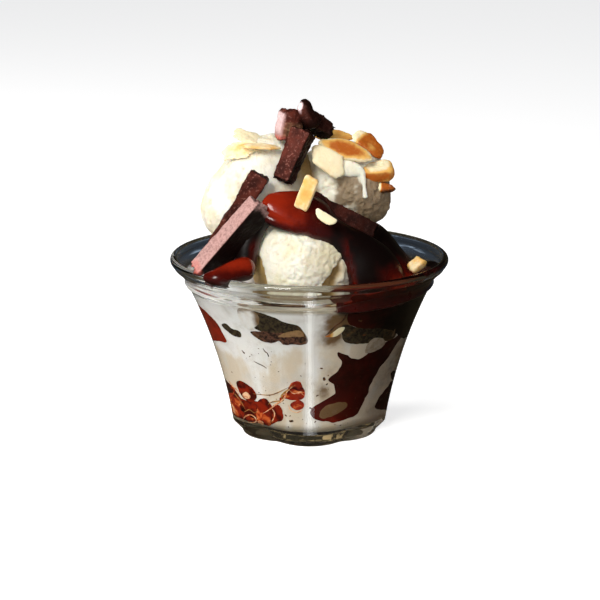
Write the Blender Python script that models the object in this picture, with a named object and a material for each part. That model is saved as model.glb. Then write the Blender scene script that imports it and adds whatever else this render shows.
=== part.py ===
# Ice cream sundae, built together with its pressed-glass dish.
#
# The dish stands on the ground plane with its foot centred on the origin, +Z up.
# The front of the sundae faces -Y. Azimuths are measured round the dish from the
# front, positive towards +X. Vanilla ice cream fills the dish and is mounded up
# to carry three scoops. Chocolate sauce, chocolate bars and almond pieces lie on
# top, and sauce, brownie, chocolate and almond are pressed against the wall.

import bpy
import numpy as np

MM = 0.001
TAU = 2.0 * np.pi

# ---------------------------------------------------------------- dimensions
# Glass dish: a lobed, flaring bowl under a plain turned-out lip.
RIM_RADIUS = 60.0 * MM
DISH_HEIGHT = 77.8 * MM
FOOT_RADIUS = 29.8 * MM
FOOT_ROUND = 2.2 * MM
HEEL_RADIUS = 33.9 * MM
HEEL_HEIGHT = 6.5 * MM
SHOULDER_RADIUS = 51.6 * MM
SHOULDER_HEIGHT = 63.6 * MM
FLARE_STRAIGHT = 0.53
LEDGE_RADIUS = 53.5 * MM
LEDGE_HEIGHT = 67.2 * MM
LIP_ROUND = 1.5 * MM
WALL = 4.0 * MM
LIP_SLOPE = 1.03
BASE_THICKNESS = 7.0 * MM
INNER_FLOOR_ROUND = 4.5 * MM
LOBES = 6
LOBE_DEPTH = 1.5 * MM
LOBE_TOP = 61.0 * MM

# Contents: level at the wall, and the mounds that carry the scoops and sauce.
FILL_LEVEL = 65.5 * MM
GAP = 0.3 * MM
CENTRE_MOUND = dict(at=(2.0, 3.0), rise=25.0, spread=(20.0, 16.5))
RIGHT_MOUND = dict(at=(26.0, -6.0), rise=18.0, spread=(14.0, 15.0))

# Facets round the dish, and round the scoops.
DISH_SEGMENTS = 36
FILL_SEGMENTS = 36
SCOOP_SEGMENTS = 20
SCOOP_RINGS = 10

COLOURS = {
    "glass": ((0.86, 0.90, 0.88, 0.35), 0.05, 0.95),
    "vanilla": ((0.93, 0.88, 0.74, 1.0), 0.55, 0.0),
    "sauce": ((0.13, 0.020, 0.010, 1.0), 0.12, 0.0),
    "chocolate": ((0.10, 0.040, 0.030, 1.0), 0.50, 0.0),
    "brownie": ((0.09, 0.050, 0.030, 1.0), 0.70, 0.0),
    "almond": ((0.86, 0.68, 0.42, 1.0), 0.55, 0.0),
    "toasted_almond": ((0.66, 0.36, 0.13, 1.0), 0.55, 0.0),
}


# ------------------------------------------------------------------- helpers
def material(kind, name):
    """A Principled material of the given kind, one for each piece."""
    colour, roughness, transmission = COLOURS[kind]
    mat = bpy.data.materials.new(name)
    mat.use_nodes = True
    shader = mat.node_tree.nodes["Principled BSDF"]
    shader.inputs["Base Color"].default_value = colour
    shader.inputs["Roughness"].default_value = roughness
    shader.inputs["Metallic"].default_value = 0.0
    shader.inputs["Transmission Weight"].default_value = transmission
    mat.diffuse_color = colour
    return mat


def ring_solid(name, kind, rings, first=None, last=None, cutter=False):
    """A closed solid from rings of points: a pole point, or one flat face, closes each end."""
    rings = np.asarray(rings, dtype=float)
    count, around = rings.shape[:2]
    points = rings.reshape(-1, 3)
    ring = np.arange(count - 1)[:, None] * around
    step = np.arange(around)[None, :]
    after = (np.arange(around)[None, :] + 1) % around
    lower = np.stack([ring + step, ring + after, ring + around + after], -1)
    upper = np.stack([ring + step, ring + around + after, ring + around + step], -1)
    faces = [tuple(face) for face in np.concatenate([lower, upper]).reshape(-1, 3).tolist()]
    for pole, base, order in ((first, 0, -1), (last, (count - 1) * around, 1)):
        loop = [base + i for i in range(around)][::order]
        if pole is None:
            faces.append(tuple(loop))
            continue
        tip = len(points)
        points = np.concatenate([points, [pole]])
        faces += [(tip, loop[i], loop[(i + 1) % around]) for i in range(around)]
    if signed_volume(points, faces) < 0.0:
        faces = [face[::-1] for face in faces]
    mesh = bpy.data.meshes.new(name)
    mesh.from_pydata(points.tolist(), [], faces)
    mesh.update()
    obj = bpy.data.objects.new(name, mesh)
    bpy.context.collection.objects.link(obj)
    mesh.materials.append(material(kind, name))
    mesh.shade_smooth()
    if cutter:
        obj.hide_render = True
        obj.display_type = "WIRE"
    return obj


def signed_volume(points, faces):
    """Six times the volume enclosed, positive where the faces look outward."""
    total = 0.0
    for face in faces:
        for second, third in zip(face[1:-1], face[2:]):
            total += np.dot(points[face[0]], np.cross(points[second], points[third]))
    return total


def boolean(target, other, operation):
    """Combine two solids, leaving the second one as a hidden cutter."""
    modifier = target.modifiers.new(operation.lower() + "_" + other.name, "BOOLEAN")
    modifier.operation = operation
    modifier.solver = "EXACT"
    modifier.object = other


def unit(vector):
    """The vector scaled to length one."""
    vector = np.asarray(vector, dtype=float)
    return vector / np.linalg.norm(vector)


def smoothstep(low, high, value):
    """A soft ramp from 0 at low to 1 at high."""
    t = np.clip((value - low) / (high - low), 0.0, 1.0)
    return t * t * (3.0 - 2.0 * t)


def round_dish(azimuth, radius, height):
    """Points at an azimuth (radians), a radius and a height round the dish."""
    azimuth, radius, height = np.broadcast_arrays(azimuth, radius, height)
    return np.stack([radius * np.sin(azimuth), -radius * np.cos(azimuth), height], -1)


# ---------------------------------------------------------------- glass dish
def flare(height):
    """Mean outer radius of the body: a line plus a parabola from heel to shoulder."""
    s = (height - HEEL_HEIGHT) / (SHOULDER_HEIGHT - HEEL_HEIGHT)
    s = np.clip(s, 0.0, 1.3)
    return HEEL_RADIUS + (SHOULDER_RADIUS - HEEL_RADIUS) * (FLARE_STRAIGHT * s + (1.0 - FLARE_STRAIGHT) * s ** 2)


def inner_radius(height):
    """Radius of the round inner wall: rounded into the floor, following the lip above."""
    body = flare(np.minimum(height, LEDGE_HEIGHT)) - WALL
    wall = body + np.maximum(height - LEDGE_HEIGHT, 0.0) * LIP_SLOPE
    up = np.clip((height - BASE_THICKNESS) / INNER_FLOOR_ROUND, 0.0, 1.0)
    return wall - INNER_FLOOR_ROUND * (1.0 - np.sqrt(1.0 - (1.0 - up) ** 2))


def outer_profile():
    """Outline of the outside, from the foot's flat face up to the lip."""
    turn = np.linspace(-np.pi / 2.0, 0.0, 3)
    foot = np.stack([FOOT_RADIUS - FOOT_ROUND + FOOT_ROUND * np.cos(turn), FOOT_ROUND + FOOT_ROUND * np.sin(turn)], -1)
    height = np.linspace(HEEL_HEIGHT, SHOULDER_HEIGHT, 7)
    body = np.stack([flare(height), height], -1)
    rise = np.linspace(0.5, 1.0, 2)
    ledge = np.stack([
        SHOULDER_RADIUS + (LEDGE_RADIUS - SHOULDER_RADIUS) * np.sin(rise * np.pi / 2.0),
        SHOULDER_HEIGHT + (LEDGE_HEIGHT - SHOULDER_HEIGHT) * rise,
    ], -1)
    centre = np.array([RIM_RADIUS - LIP_ROUND, DISH_HEIGHT - LIP_ROUND])
    turn = np.linspace(-0.25 * np.pi, 0.75 * np.pi, 5)
    rim = centre + LIP_ROUND * np.stack([np.cos(turn), np.sin(turn)], -1)
    return np.concatenate([foot, body, ledge, rim])


# Heights of the facets' edges on the inner wall, shared by the glass and its contents.
WALL_STATIONS = np.linspace(BASE_THICKNESS + INNER_FLOOR_ROUND, SHOULDER_HEIGHT - 4.0 * MM, 5)


def inner_profile():
    """Outline of the inside, from the lip down to the floor."""
    lip = np.array([DISH_HEIGHT - 3.2 * MM, LEDGE_HEIGHT])
    floor = BASE_THICKNESS + INNER_FLOOR_ROUND * np.array([0.5, 0.0])
    height = np.concatenate([lip, WALL_STATIONS[::-1], floor])
    return np.stack([inner_radius(height), height], -1)


def petal(azimuth):
    """Six rounded lobes with a crisp valley between each pair, from -1 to 1."""
    wave = np.sqrt(np.cos(0.5 * LOBES * azimuth) ** 2 + 0.03)
    return 2.0 * (wave - 0.17) / (np.sqrt(1.03) - 0.17) - 1.0


def build_dish(grow=0.0):
    """The glass: an outer lobed skin and a round inner wall, joined over the lip."""
    azimuth = np.arange(DISH_SEGMENTS) * TAU / DISH_SEGMENTS
    outer = outer_profile()
    inner = inner_profile()
    lobe = LOBE_DEPTH * np.clip(1.0 - (outer[:, 1] / LOBE_TOP) ** 2, 0.0, 1.0)
    outside = round_dish(azimuth[None, :], outer[:, :1] + lobe[:, None] * petal(azimuth)[None, :], outer[:, 1:])
    inside = round_dish(azimuth[None, :], inner[:, :1], inner[:, 1:])
    rings = np.concatenate([outside, inside])
    if grow:
        rings = np.concatenate([outside * (1.0 + grow / RIM_RADIUS), inside * (1.0 - grow / SHOULDER_RADIUS)])
        rings[..., 2] += grow
    label = "dish_room" if grow else "glass_dish"
    return ring_solid(label, "glass", rings, (0, 0, 0), (0, 0, BASE_THICKNESS), cutter=bool(grow))


# ------------------------------------------------------- ice cream in the dish
def mound(x, y):
    """Height of the ice cream's top: the level at the wall plus two soft hills."""
    height = np.full(np.broadcast(x, y).shape, FILL_LEVEL)
    for hill in (CENTRE_MOUND, RIGHT_MOUND):
        dx = (x / MM - hill["at"][0]) / hill["spread"][0]
        dy = (y / MM - hill["at"][1]) / hill["spread"][1]
        height = height + hill["rise"] * MM * np.exp(-0.5 * (dx ** 2 + dy ** 2))
    return height


def wall_top(azimuth):
    """Height where the mound meets the inner wall, found by settling three times."""
    height = np.full_like(azimuth, FILL_LEVEL)
    for _ in range(4):
        edge = round_dish(azimuth, inner_radius(height) - GAP, height)
        height = mound(edge[..., 0], edge[..., 1])
    return height


def bend_height(low, high):
    """A height between two others: the ledge, where the inner wall bends, if it lies between."""
    inside = (high > LEDGE_HEIGHT + 0.5 * MM) & (low < LEDGE_HEIGHT - 0.5 * MM)
    return np.where(inside, LEDGE_HEIGHT, 0.5 * (low + high))


def build_fill():
    """The ice cream as a solid: floor, wall just inside the glass, and mounded top."""
    azimuth = np.arange(FILL_SEGMENTS) * TAU / FILL_SEGMENTS
    floor = BASE_THICKNESS + GAP
    low = np.array([0.0, 0.5]) * INNER_FLOOR_ROUND + floor
    rings = [round_dish(azimuth, inner_radius(z - GAP) - GAP, z) for z in low]
    rings += [round_dish(azimuth, inner_radius(z) - GAP, z) for z in WALL_STATIONS]
    top = wall_top(azimuth)
    for z in (bend_height(WALL_STATIONS[-1], top), top):
        rings.append(round_dish(azimuth, inner_radius(z) - GAP, z))
    edge = inner_radius(top) - GAP
    for part in (0.86, 0.68, 0.5, 0.3):
        flat = round_dish(azimuth, edge * part, 0.0)
        rings.append(np.stack([flat[:, 0], flat[:, 1], mound(flat[:, 0], flat[:, 1])], -1))
    peak = float(mound(np.array(0.0), np.array(0.0)))
    return ring_solid("ice_cream_fill", "vanilla", rings, (0, 0, floor), (0, 0, peak))


# --------------------------------------------------------------------- scoops
# Each scoop is an ellipsoid with soft bulges (+) and dents (-) along directions.
SCOOPS = {
    "scoop_front": dict(
        centre=(-3.0, -21.0, 78.0), radii=(22.0, 20.5, 22.0), polar=(0.1, 0.3, 1.0),
        bulges=[((0.8, -0.4, -0.5), 0.05, 0.25), ((-0.9, -0.3, -0.4), 0.05, 0.25), ((0.3, -0.8, 0.5), -0.03, 0.10)],
    ),
    "scoop_left": dict(
        centre=(-21.5, 4.0, 103.5), radii=(24.5, 23.0, 25.0), polar=(-0.2, 0.0, 1.0),
        bulges=[((-0.8, 0.0, 0.65), -0.08, 0.20), ((-1.0, -0.2, -0.35), 0.06, 0.15), ((0.7, -0.3, 0.7), 0.12, 0.25)],
    ),
    "scoop_right": dict(
        centre=(15.6, 7.0, 106.6), radii=(19.0, 19.5, 18.5), polar=(0.2, 0.0, 1.0),
        bulges=[((0.85, -0.3, -0.75), 0.07, 0.10), ((0.2, -0.95, 0.2), -0.03, 0.10), ((-0.7, -0.2, 0.7), 0.14, 0.25)],
    ),
}


def scoop_radius(scoop, direction):
    """Distance from the scoop's centre to its skin along unit directions."""
    radii = np.array(scoop["radii"]) * MM
    base = 1.0 / np.linalg.norm(direction / radii, axis=-1)
    swell = np.ones(direction.shape[:-1])
    for toward, amount, width in scoop["bulges"]:
        swell = swell + amount * np.exp((direction @ unit(toward) - 1.0) / width)
    return base * swell


def sphere_directions(axis, rings, segments):
    """Unit directions in rings round an axis, with the two poles apart."""
    axis = unit(axis)
    side = unit(np.cross(axis, (0.0, 1.0, 0.0)))
    front = np.cross(side, axis)
    polar = np.linspace(np.pi, 0.0, rings + 2)[1:-1, None]
    turn = np.arange(segments)[None, :] * TAU / segments
    ring = (
        np.cos(polar)[..., None] * axis
        + (np.sin(polar) * np.cos(turn))[..., None] * side
        + (np.sin(polar) * np.sin(turn))[..., None] * front
    )
    return ring, -axis, axis


def build_scoop(name, grow=0.0):
    """A scoop, or with grow the cutter that leaves room for it."""
    scoop = SCOOPS[name]
    centre = np.array(scoop["centre"]) * MM
    ring, low, high = sphere_directions(scoop["polar"], SCOOP_RINGS, SCOOP_SEGMENTS)
    skin = centre + ring * (scoop_radius(scoop, ring) + grow)[..., None]
    first = centre + low * (scoop_radius(scoop, low) + grow)
    last = centre + high * (scoop_radius(scoop, high) + grow)
    label = name + "_room" if grow else name
    return ring_solid(label, "vanilla", skin, first, last, cutter=bool(grow))


# ---------------------------------------------------------------------- sauce
# Ropes are rounded ribbons through stations: x, y, z, half width, half height (mm).
# The band lies over the front scoop against the two behind, and runs into the
# pour, which covers the right-hand mound and then hangs down inside the wall.
BAND = [(-21.0, -24.5, 101.5, 3.5, 3.5), (-14.0, -27.0, 103.0, 5.0, 5.2), (-4.0, -28.5, 102.5, 6.0, 5.6),
        (6.0, -30.5, 98.5, 6.5, 6.8), (14.0, -29.5, 93.0, 6.5, 7.2), (20.0, -26.5, 86.0, 6.0, 6.0),
        (24.0, -24.5, 81.8, 5.0, 4.5)]
DOLLOP = [(-24.5, -38.0, 84.6, 4.5, 5.0), (-28.5, -39.8, 82.6, 6.4, 6.4), (-33.5, -41.4, 80.6, 6.2, 5.8),
          (-38.0, -41.8, 79.4, 4.8, 4.4), (-41.0, -41.6, 78.9, 2.8, 2.6)]
POUR_FROM = 12.0
POUR_TO = 112.0
POUR_THICKNESS = 3.2 * MM
POUR_SUNK = 1.2 * MM
POUR_INNER = 19.0 * MM
CURTAIN_DEPTH = 4.0 * MM
CURTAIN_LOW = 54.0 * MM


def smooth_path(stations, steps):
    """Catmull-Rom curve through the stations, with a number of steps between each pair."""
    stations = np.asarray(stations, dtype=float)
    padded = np.concatenate([2 * stations[:1] - stations[1:2], stations, 2 * stations[-1:] - stations[-2:-1]])
    t = (np.arange(steps) / steps)[None, :, None]
    p0, p1, p2, p3 = (padded[i:len(padded) - 3 + i, None, :] for i in range(4))
    curve = 0.5 * (2 * p1 + (p2 - p0) * t + (2 * p0 - 5 * p1 + 4 * p2 - p3) * t ** 2 + (3 * p1 - p0 - 3 * p2 + p3) * t ** 3)
    return np.concatenate([curve.reshape(-1, stations.shape[1]), stations[-1:]])


def rope(spine, outward, wide, tall, around):
    """Elliptical rings along a spine: wide across the outward direction, tall along it."""
    tangent = np.gradient(spine, axis=0)
    tangent /= np.linalg.norm(tangent, axis=1)[:, None]
    outward = outward - (outward * tangent).sum(1)[:, None] * tangent
    outward /= np.linalg.norm(outward, axis=1)[:, None]
    across = np.cross(tangent, outward)
    turn = np.arange(around) * TAU / around
    rings = spine[:, None, :] + wide[:, None, None] * np.cos(turn)[None, :, None] * across[:, None, :]
    return rings + tall[:, None, None] * np.sin(turn)[None, :, None] * outward[:, None, :]


def build_rope(name, stations, grow=0.0):
    """A thick rope of sauce with rounded ends, lying with its height along +Z."""
    path = smooth_path(stations, 3)
    spine = path[:, :3] * MM
    swell = np.sqrt(1.0 - np.clip(1.0 - np.arange(len(path)) / 1.5, 0.0, 0.75) ** 2)
    swell = swell * swell[::-1]
    up = np.broadcast_to((0.0, -0.25, 1.0), spine.shape)
    rings = rope(spine, up, path[:, 3] * MM * swell + grow, path[:, 4] * MM * swell + grow, 10)
    ends = [spine[0] - (spine[1] - spine[0]) * 0.5, spine[-1] + (spine[-1] - spine[-2]) * 0.5]
    label = name + "_room" if grow else name
    return ring_solid(label, "sauce", rings, ends[0], ends[1], cutter=bool(grow))


def pour_section(azimuth, grow):
    """Closed outline of the pour at one azimuth: over the mound and down the wall."""
    along = np.array([azimuth])
    top = float(wall_top(along)[0])
    edge = float(inner_radius(np.array(top))) - GAP
    swell = np.sin(np.pi * (np.degrees(azimuth) - POUR_FROM) / (POUR_TO - POUR_FROM))
    rise = float(np.clip(swell, 0.0, 1.0)) ** 0.4
    thick = POUR_THICKNESS * rise + 10.0 * grow
    low = top - (top - CURTAIN_LOW) * rise ** 1.5 - 4.0 * grow
    across = np.linspace(0.0, 1.0, 5)
    radius = POUR_INNER + (edge - POUR_INNER) * across
    flat = round_dish(azimuth, radius, 0.0)
    bed = mound(flat[:, 0], flat[:, 1])
    over = np.stack([radius, bed + GAP + thick * np.sqrt(np.clip(1.15 - across ** 4, 0.0, 1.0))], -1)
    over[-1, 0] += 8.0 * grow
    bend = float(bend_height(low, over[-1, 1]))
    wall_height = np.array([bend, 0.5 * (bend + low), low])
    wall = np.stack([inner_radius(wall_height) - 1.5 * GAP + 6.0 * grow, wall_height], -1)
    depth = CURTAIN_DEPTH * rise + 1.5 * grow
    back = np.array([[float(inner_radius(np.array(low))) - GAP - depth, low + 0.3 * depth]])
    under = np.stack([radius - 1.5 * grow, bed - POUR_SUNK * rise - 1.5 * grow], -1)[::-1][1:]
    outline = np.concatenate([over, wall, back, under])
    return round_dish(azimuth, outline[:, 0], outline[:, 1])


def build_pour(grow=0.0):
    """Sauce on the right: the section carried round the dish between two azimuths."""
    azimuths = np.radians(np.linspace(POUR_FROM + 1.5, POUR_TO - 1.5, 12))
    if grow:
        azimuths = np.concatenate([azimuths[:1] - 0.015, azimuths, azimuths[-1:] + 0.015])
    rings = np.array([pour_section(a, grow) for a in azimuths])
    label = "pour_room" if grow else "pour"
    return ring_solid(label, "sauce", rings, cutter=True)


# ------------------------------------------------- pieces pressed to the wall
# centre: azimuth in degrees and height in mm. half: half width in degrees and
# half height in mm. power: 2 is oval, 4 is nearly square. depth: into the food.
WALL_PIECES = {
    "brownie_at_wall": dict(kind="brownie", centre=(-17.0, 56.0), half=(16.0, 6.2), power=3.2, depth=6.5, lean=-0.10),
    "chocolate_at_wall_right": dict(kind="chocolate", centre=(35.0, 50.4), half=(13.5, 4.6), power=3.0, depth=6.0, lean=-0.06),
    "chocolate_at_wall_left": dict(kind="chocolate", centre=(-45.0, 52.0), half=(5.0, 2.6), power=2.6, depth=4.0, lean=-0.2),
    "almond_at_wall": dict(kind="almond", centre=(12.5, 55.0), half=(5.0, 2.2), power=2.2, depth=4.0, lean=-0.2),
    "sauce_streak_left": dict(kind="sauce", centre=(-76.0, 47.5), half=(15.0, 4.2), power=2.2, depth=3.0, lean=-0.30),
    "sauce_streak_right": dict(kind="sauce", centre=(74.0, 21.0), half=(13.0, 7.0), power=2.2, depth=3.0, lean=0.30),
}


def build_wall_piece(name, grow=0.0):
    """A piece whose outer face lies along the inner wall and whose back is rounded."""
    piece = WALL_PIECES[name]
    turn = np.arange(12) * TAU / 12
    power = 2.0 / piece["power"]
    wide = np.sign(np.cos(turn)) * np.abs(np.cos(turn)) ** power
    tall = np.sign(np.sin(turn)) * np.abs(np.sin(turn)) ** power
    height0 = piece["centre"][1] * MM
    around = inner_radius(np.array(height0))
    rings = []
    for scale, inward in ((1.0, 0.0), (1.0, 0.5), (0.7, 1.0)):
        half_wide = np.radians(piece["half"][0]) * scale + grow / around
        half_tall = piece["half"][1] * MM * scale + grow
        height = height0 + half_tall * tall + piece["lean"] * half_wide * around * wide
        azimuth = np.radians(piece["centre"][0]) + half_wide * wide
        depth = inward * (piece["depth"] * MM + grow) - (0.0 if inward else 5.0 * grow)
        rings.append(round_dish(azimuth, inner_radius(height) - GAP - depth, height))
    first = rings[0].mean(axis=0)
    first[:2] *= (inner_radius(first[2]) - GAP + 5.0 * grow) / np.hypot(first[0], first[1])
    last = rings[-1].mean(axis=0)
    label = name + "_room" if grow else name
    return ring_solid(label, piece["kind"], rings, first, last, cutter=bool(grow))


# The ripple is one ribbon of sauce: down the wall at the front right, through
# the food, and along the wall again at the front left. Each station has an
# azimuth in degrees, a depth from the wall, a height and a half width in mm.
RIPPLE = [(64, 2.0, 45.0, 4.0), (51, 2.0, 38.5, 6.0), (40, 2.0, 30.5, 7.0), (34, 2.0, 21.5, 6.0), (20, 2.5, 14.8, 4.5),
          (5, 4.5, 15.5, 3.6), (-4, 6.0, 22.0, 3.6), (-14, 3.5, 25.0, 4.0), (-25, 2.0, 20.0, 4.8), (-38, 2.0, 15.5, 5.5),
          (-56, 2.0, 18.5, 5.0), (-74, 2.0, 22.0, 4.0)]
RIPPLE_HALF_DEPTH = 4.2 * MM


def build_ripple(grow=0.0):
    """A rope along the ripple's path, pressed flat where it would go through the wall."""
    path = smooth_path(RIPPLE, 2)
    azimuth = np.radians(path[:, 0])
    height = path[:, 2] * MM
    spine = round_dish(azimuth, inner_radius(height) - GAP - path[:, 1] * MM, height)
    swell = np.sqrt(1.0 - np.clip(1.0 - np.arange(len(path)) / 1.5, 0.0, 0.75) ** 2)
    swell = swell * swell[::-1]
    outward = round_dish(azimuth, 1.0, 0.0)
    rings = rope(spine, outward, path[:, 3] * MM * swell + grow, RIPPLE_HALF_DEPTH * swell + grow, 8)
    reach = np.hypot(rings[..., 0], rings[..., 1])
    limit = inner_radius(rings[..., 2]) - GAP + 5.0 * grow
    rings[..., :2] *= np.minimum(1.0, limit / reach)[..., None]
    label = "ripple_room" if grow else "sauce_ripple"
    return ring_solid(label, "sauce", rings, rings[0].mean(axis=0), rings[-1].mean(axis=0), cutter=bool(grow))


# ------------------------------------------------------------ chocolate pieces
# Bars run from start to end (mm). face is the way the broad side looks, size is
# its width and the thickness under it, taper the end's size against the start's.
BARS = {
    "chocolate_bar_left": dict(
        start=(-21.5, -33.5, 104.0), end=(-43.5, -32.5, 79.5), face=(-0.55, -0.55, 0.62), size=(8.5, 10.5), taper=0.9, rough=0.3),
    "chocolate_stick_left": dict(
        start=(-21.0, -24.0, 115.5), end=(-40.5, -23.5, 86.5), face=(-0.35, -0.85, 0.4), size=(8.8, 5.0), taper=0.8, rough=0.7),
    "chocolate_bar_top": dict(
        start=(-3.0, -15.5, 132.5), end=(-11.0, -20.5, 113.5), face=(-0.45, -0.85, 0.25), size=(9.5, 6.5), taper=0.95, rough=0.6),
    "chocolate_nugget": dict(
        start=(-6.8, -8.6, 140.2), end=(-9.6, -9.0, 128.2), face=(-0.3, -0.9, 0.2), size=(9.0, 7.5), taper=1.05, rough=0.8),
    "chocolate_curl": dict(
        start=(-3.6, -10.2, 145.2), end=(2.2, -9.4, 136.0), face=(-0.4, -0.8, 0.5), size=(6.0, 4.3), taper=1.2, rough=0.4, bow=1.6),
    "chocolate_chunk": dict(
        start=(-1.0, -5.0, 137.5), end=(7.5, -3.0, 132.5), face=(0.1, -0.7, 0.7), size=(8.5, 8.5), taper=0.8, rough=0.8),
    "chocolate_slab_right": dict(
        start=(-2.0, -18.5, 107.5), end=(26.0, -16.0, 95.0), face=(-0.1, -0.95, 0.4), size=(8.0, 7.0), taper=0.95, rough=0.3),
}


# Which pieces are cut to lean on which others.
LEANING = {
    "chocolate_stick_left": ["chocolate_bar_left"],
    "chocolate_nugget": ["chocolate_bar_top"],
    "chocolate_curl": ["chocolate_nugget"],
    "chocolate_chunk": ["chocolate_bar_top", "chocolate_curl"],
    "almond_broad": ["chocolate_bar_top"],
    "almond_back": ["chocolate_chunk"],
}


def build_bar(name, grow=0.0):
    """A broken bar: a chamfered rectangle carried from end to end, slightly uneven."""
    bar = BARS[name]
    start = np.array(bar["start"]) * MM
    end = np.array(bar["end"]) * MM
    forward = unit(end - start)
    face = unit(np.array(bar["face"]) - np.dot(bar["face"], forward) * forward)
    side = np.cross(forward, face)
    half_wide = bar["size"][0] * 0.5 * MM
    half_thick = bar["size"][1] * 0.5 * MM
    chamfer = 0.86
    corners = np.array([(1, chamfer), (chamfer, 1), (-chamfer, 1), (-1, chamfer),
                        (-1, -chamfer), (-chamfer, -1), (chamfer, -1), (1, -chamfer)], dtype=float)
    bevel = 0.8 * MM / np.linalg.norm(end - start)
    stations = np.array([0.0, bevel, 0.33, 0.66, 1.0 - bevel, 1.0])
    rings = []
    for index, t in enumerate(stations):
        scale = 1.0 + (bar["taper"] - 1.0) * t
        if index in (0, len(stations) - 1):
            scale *= 0.9
        wave = bar["rough"] * MM * np.sin(np.arange(8) * 2.3 + index * 1.9)
        middle = start + t * (end - start) + bar.get("bow", 0.0) * MM * np.sin(np.pi * t) * face
        wide = corners[:, :1] * (half_wide * scale + grow) + 0.35 * wave[:, None]
        thick = corners[:, 1:] * (half_thick * scale + grow) + 0.35 * wave[::-1, None]
        skew = (0.3 * wave * (1.0 if index in (0, 5) else 0.0))[:, None] * forward
        push = (-grow if index == 0 else grow if index == 5 else 0.0) * forward
        rings.append(middle + push + wide * side + thick * face + skew)
    rings = np.array(rings)
    label = name + "_room" if grow else name
    return ring_solid(label, "chocolate", rings, rings[0].mean(axis=0), rings[-1].mean(axis=0), cutter=bool(grow))


# --------------------------------------------------------------- almond pieces
# Slivers and flakes: centre (mm), the way they run and face, and their length,
# width and thickness. power shapes the outline, point narrows one end.
ALMONDS = {
    "almond_toasted": dict(kind="toasted_almond", centre=(15.8, -8.0, 124.6), along=(1.0, -0.1, -0.28), face=(0.1, -0.75, 0.65),
                           size=(21.5, 9.5, 3.4), power=2.0, point=0.10),
    "almond_broad": dict(kind="almond", centre=(7.4, -13.5, 119.8), along=(0.85, -0.05, -0.52), face=(0.1, -0.92, 0.35),
                         size=(17.0, 9.5, 2.6), power=3.2, point=-0.15),
    "almond_back": dict(kind="toasted_almond", centre=(11.0, 4.0, 128.2), along=(1.0, 0.1, -0.08), face=(0.0, -0.45, 0.9),
                        size=(14.0, 7.0, 2.4), power=2.2, point=0.10),
    "almond_edge": dict(kind="almond", centre=(24.8, 2.5, 125.2), along=(0.75, -0.2, -0.62), face=(0.55, -0.35, 0.75),
                        size=(15.0, 8.5, 2.4), power=2.4, point=0.15),
    "almond_block": dict(kind="toasted_almond", centre=(29.0, -5.0, 114.4), along=(1.0, 0.1, 0.10), face=(0.1, -0.5, 0.85),
                         size=(13.0, 8.5, 6.5), power=3.0, point=-0.10),
    "almond_stub": dict(kind="toasted_almond", centre=(33.4, -4.5, 107.4), along=(1.0, 0.0, -0.15), face=(0.0, -0.8, 0.5),
                        size=(7.5, 4.5, 3.6), power=2.4, point=0.20),
    "almond_sliver_upright": dict(kind="almond", centre=(-1.6, -34.6, 109.2), along=(-0.3, -0.05, -0.95), face=(-0.25, -0.95, 0.1),
                                  size=(14.0, 5.4, 2.6), power=3.4, point=-0.18),
    "almond_sliver_sauce": dict(kind="almond", centre=(7.0, -37.5, 102.0), along=(0.78, -0.1, -0.6), face=(0.15, -0.9, 0.45),
                                size=(10.5, 4.6, 2.2), power=2.2, point=0.0),
    "almond_at_rim": dict(kind="toasted_almond", centre=(45.6, -23.5, 78.4), along=(0.75, 0.1, 0.62), face=(-0.3, -0.7, 0.6),
                          size=(8.0, 5.2, 4.2), power=2.4, point=0.10),
    "almond_left_low": dict(kind="almond", centre=(-32.5, -7.0, 122.6), along=(0.8, -0.2, 0.5), face=(-0.45, -0.5, 0.75),
                            size=(15.5, 9.0, 2.0), power=2.4, point=0.10),
    "almond_left_mid": dict(kind="almond", centre=(-18.6, -13.5, 125.4), along=(1.0, -0.1, 0.12), face=(-0.2, -0.65, 0.75),
                            size=(16.0, 7.5, 2.0), power=2.2, point=0.10),
    "almond_left_top": dict(kind="almond", centre=(-26.0, 0.0, 129.2), along=(0.95, 0.0, -0.25), face=(-0.1, -0.5, 0.85),
                            size=(15.5, 8.0, 2.0), power=2.4, point=0.15),
}


def build_almond(name, grow=0.0):
    """A flake: a rounded outline with bevelled edges and gently domed faces."""
    almond = ALMONDS[name]
    along = unit(almond["along"])
    face = unit(np.array(almond["face"]) - np.dot(almond["face"], along) * along)
    side = np.cross(face, along)
    half = np.array(almond["size"]) * 0.5 * MM
    turn = np.arange(10) * TAU / 10
    power = 2.0 / almond["power"]
    long_way = np.sign(np.cos(turn)) * np.abs(np.cos(turn)) ** power
    wide_way = np.sign(np.sin(turn)) * np.abs(np.sin(turn)) ** power
    wide_way = wide_way * (1.0 - almond["point"] * long_way)
    centre = np.array(almond["centre"]) * MM
    rings = []
    for scale, level in ((0.75, -1.0), (1.0, -0.35), (1.0, 0.35), (0.75, 1.0)):
        long_part = (half[0] * scale + grow) * long_way
        wide_part = (half[1] * scale + grow) * wide_way
        rings.append(centre + long_part[:, None] * along + wide_part[:, None] * side + level * (half[2] + grow) * face)
    first = rings[0].mean(axis=0) - 0.15 * half[2] * face
    last = rings[-1].mean(axis=0) + 0.15 * half[2] * face
    label = name + "_room" if grow else name
    return ring_solid(label, almond["kind"], rings, first, last, cutter=bool(grow))


# ------------------------------------------------------------------- assembly
for old in list(bpy.data.objects):
    bpy.data.objects.remove(old, do_unlink=True)

dish = build_dish()
fill = build_fill()
scoops = {name: build_scoop(name) for name in SCOOPS}
bars = {name: build_bar(name) for name in BARS}
almonds = {name: build_almond(name) for name in ALMONDS}
wall_pieces = {name: build_wall_piece(name) for name in WALL_PIECES}
ripple = build_ripple()
dollop = build_rope("sauce_dollop", DOLLOP)
sauce = build_rope("chocolate_sauce", BAND)
pour = build_pour()

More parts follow.
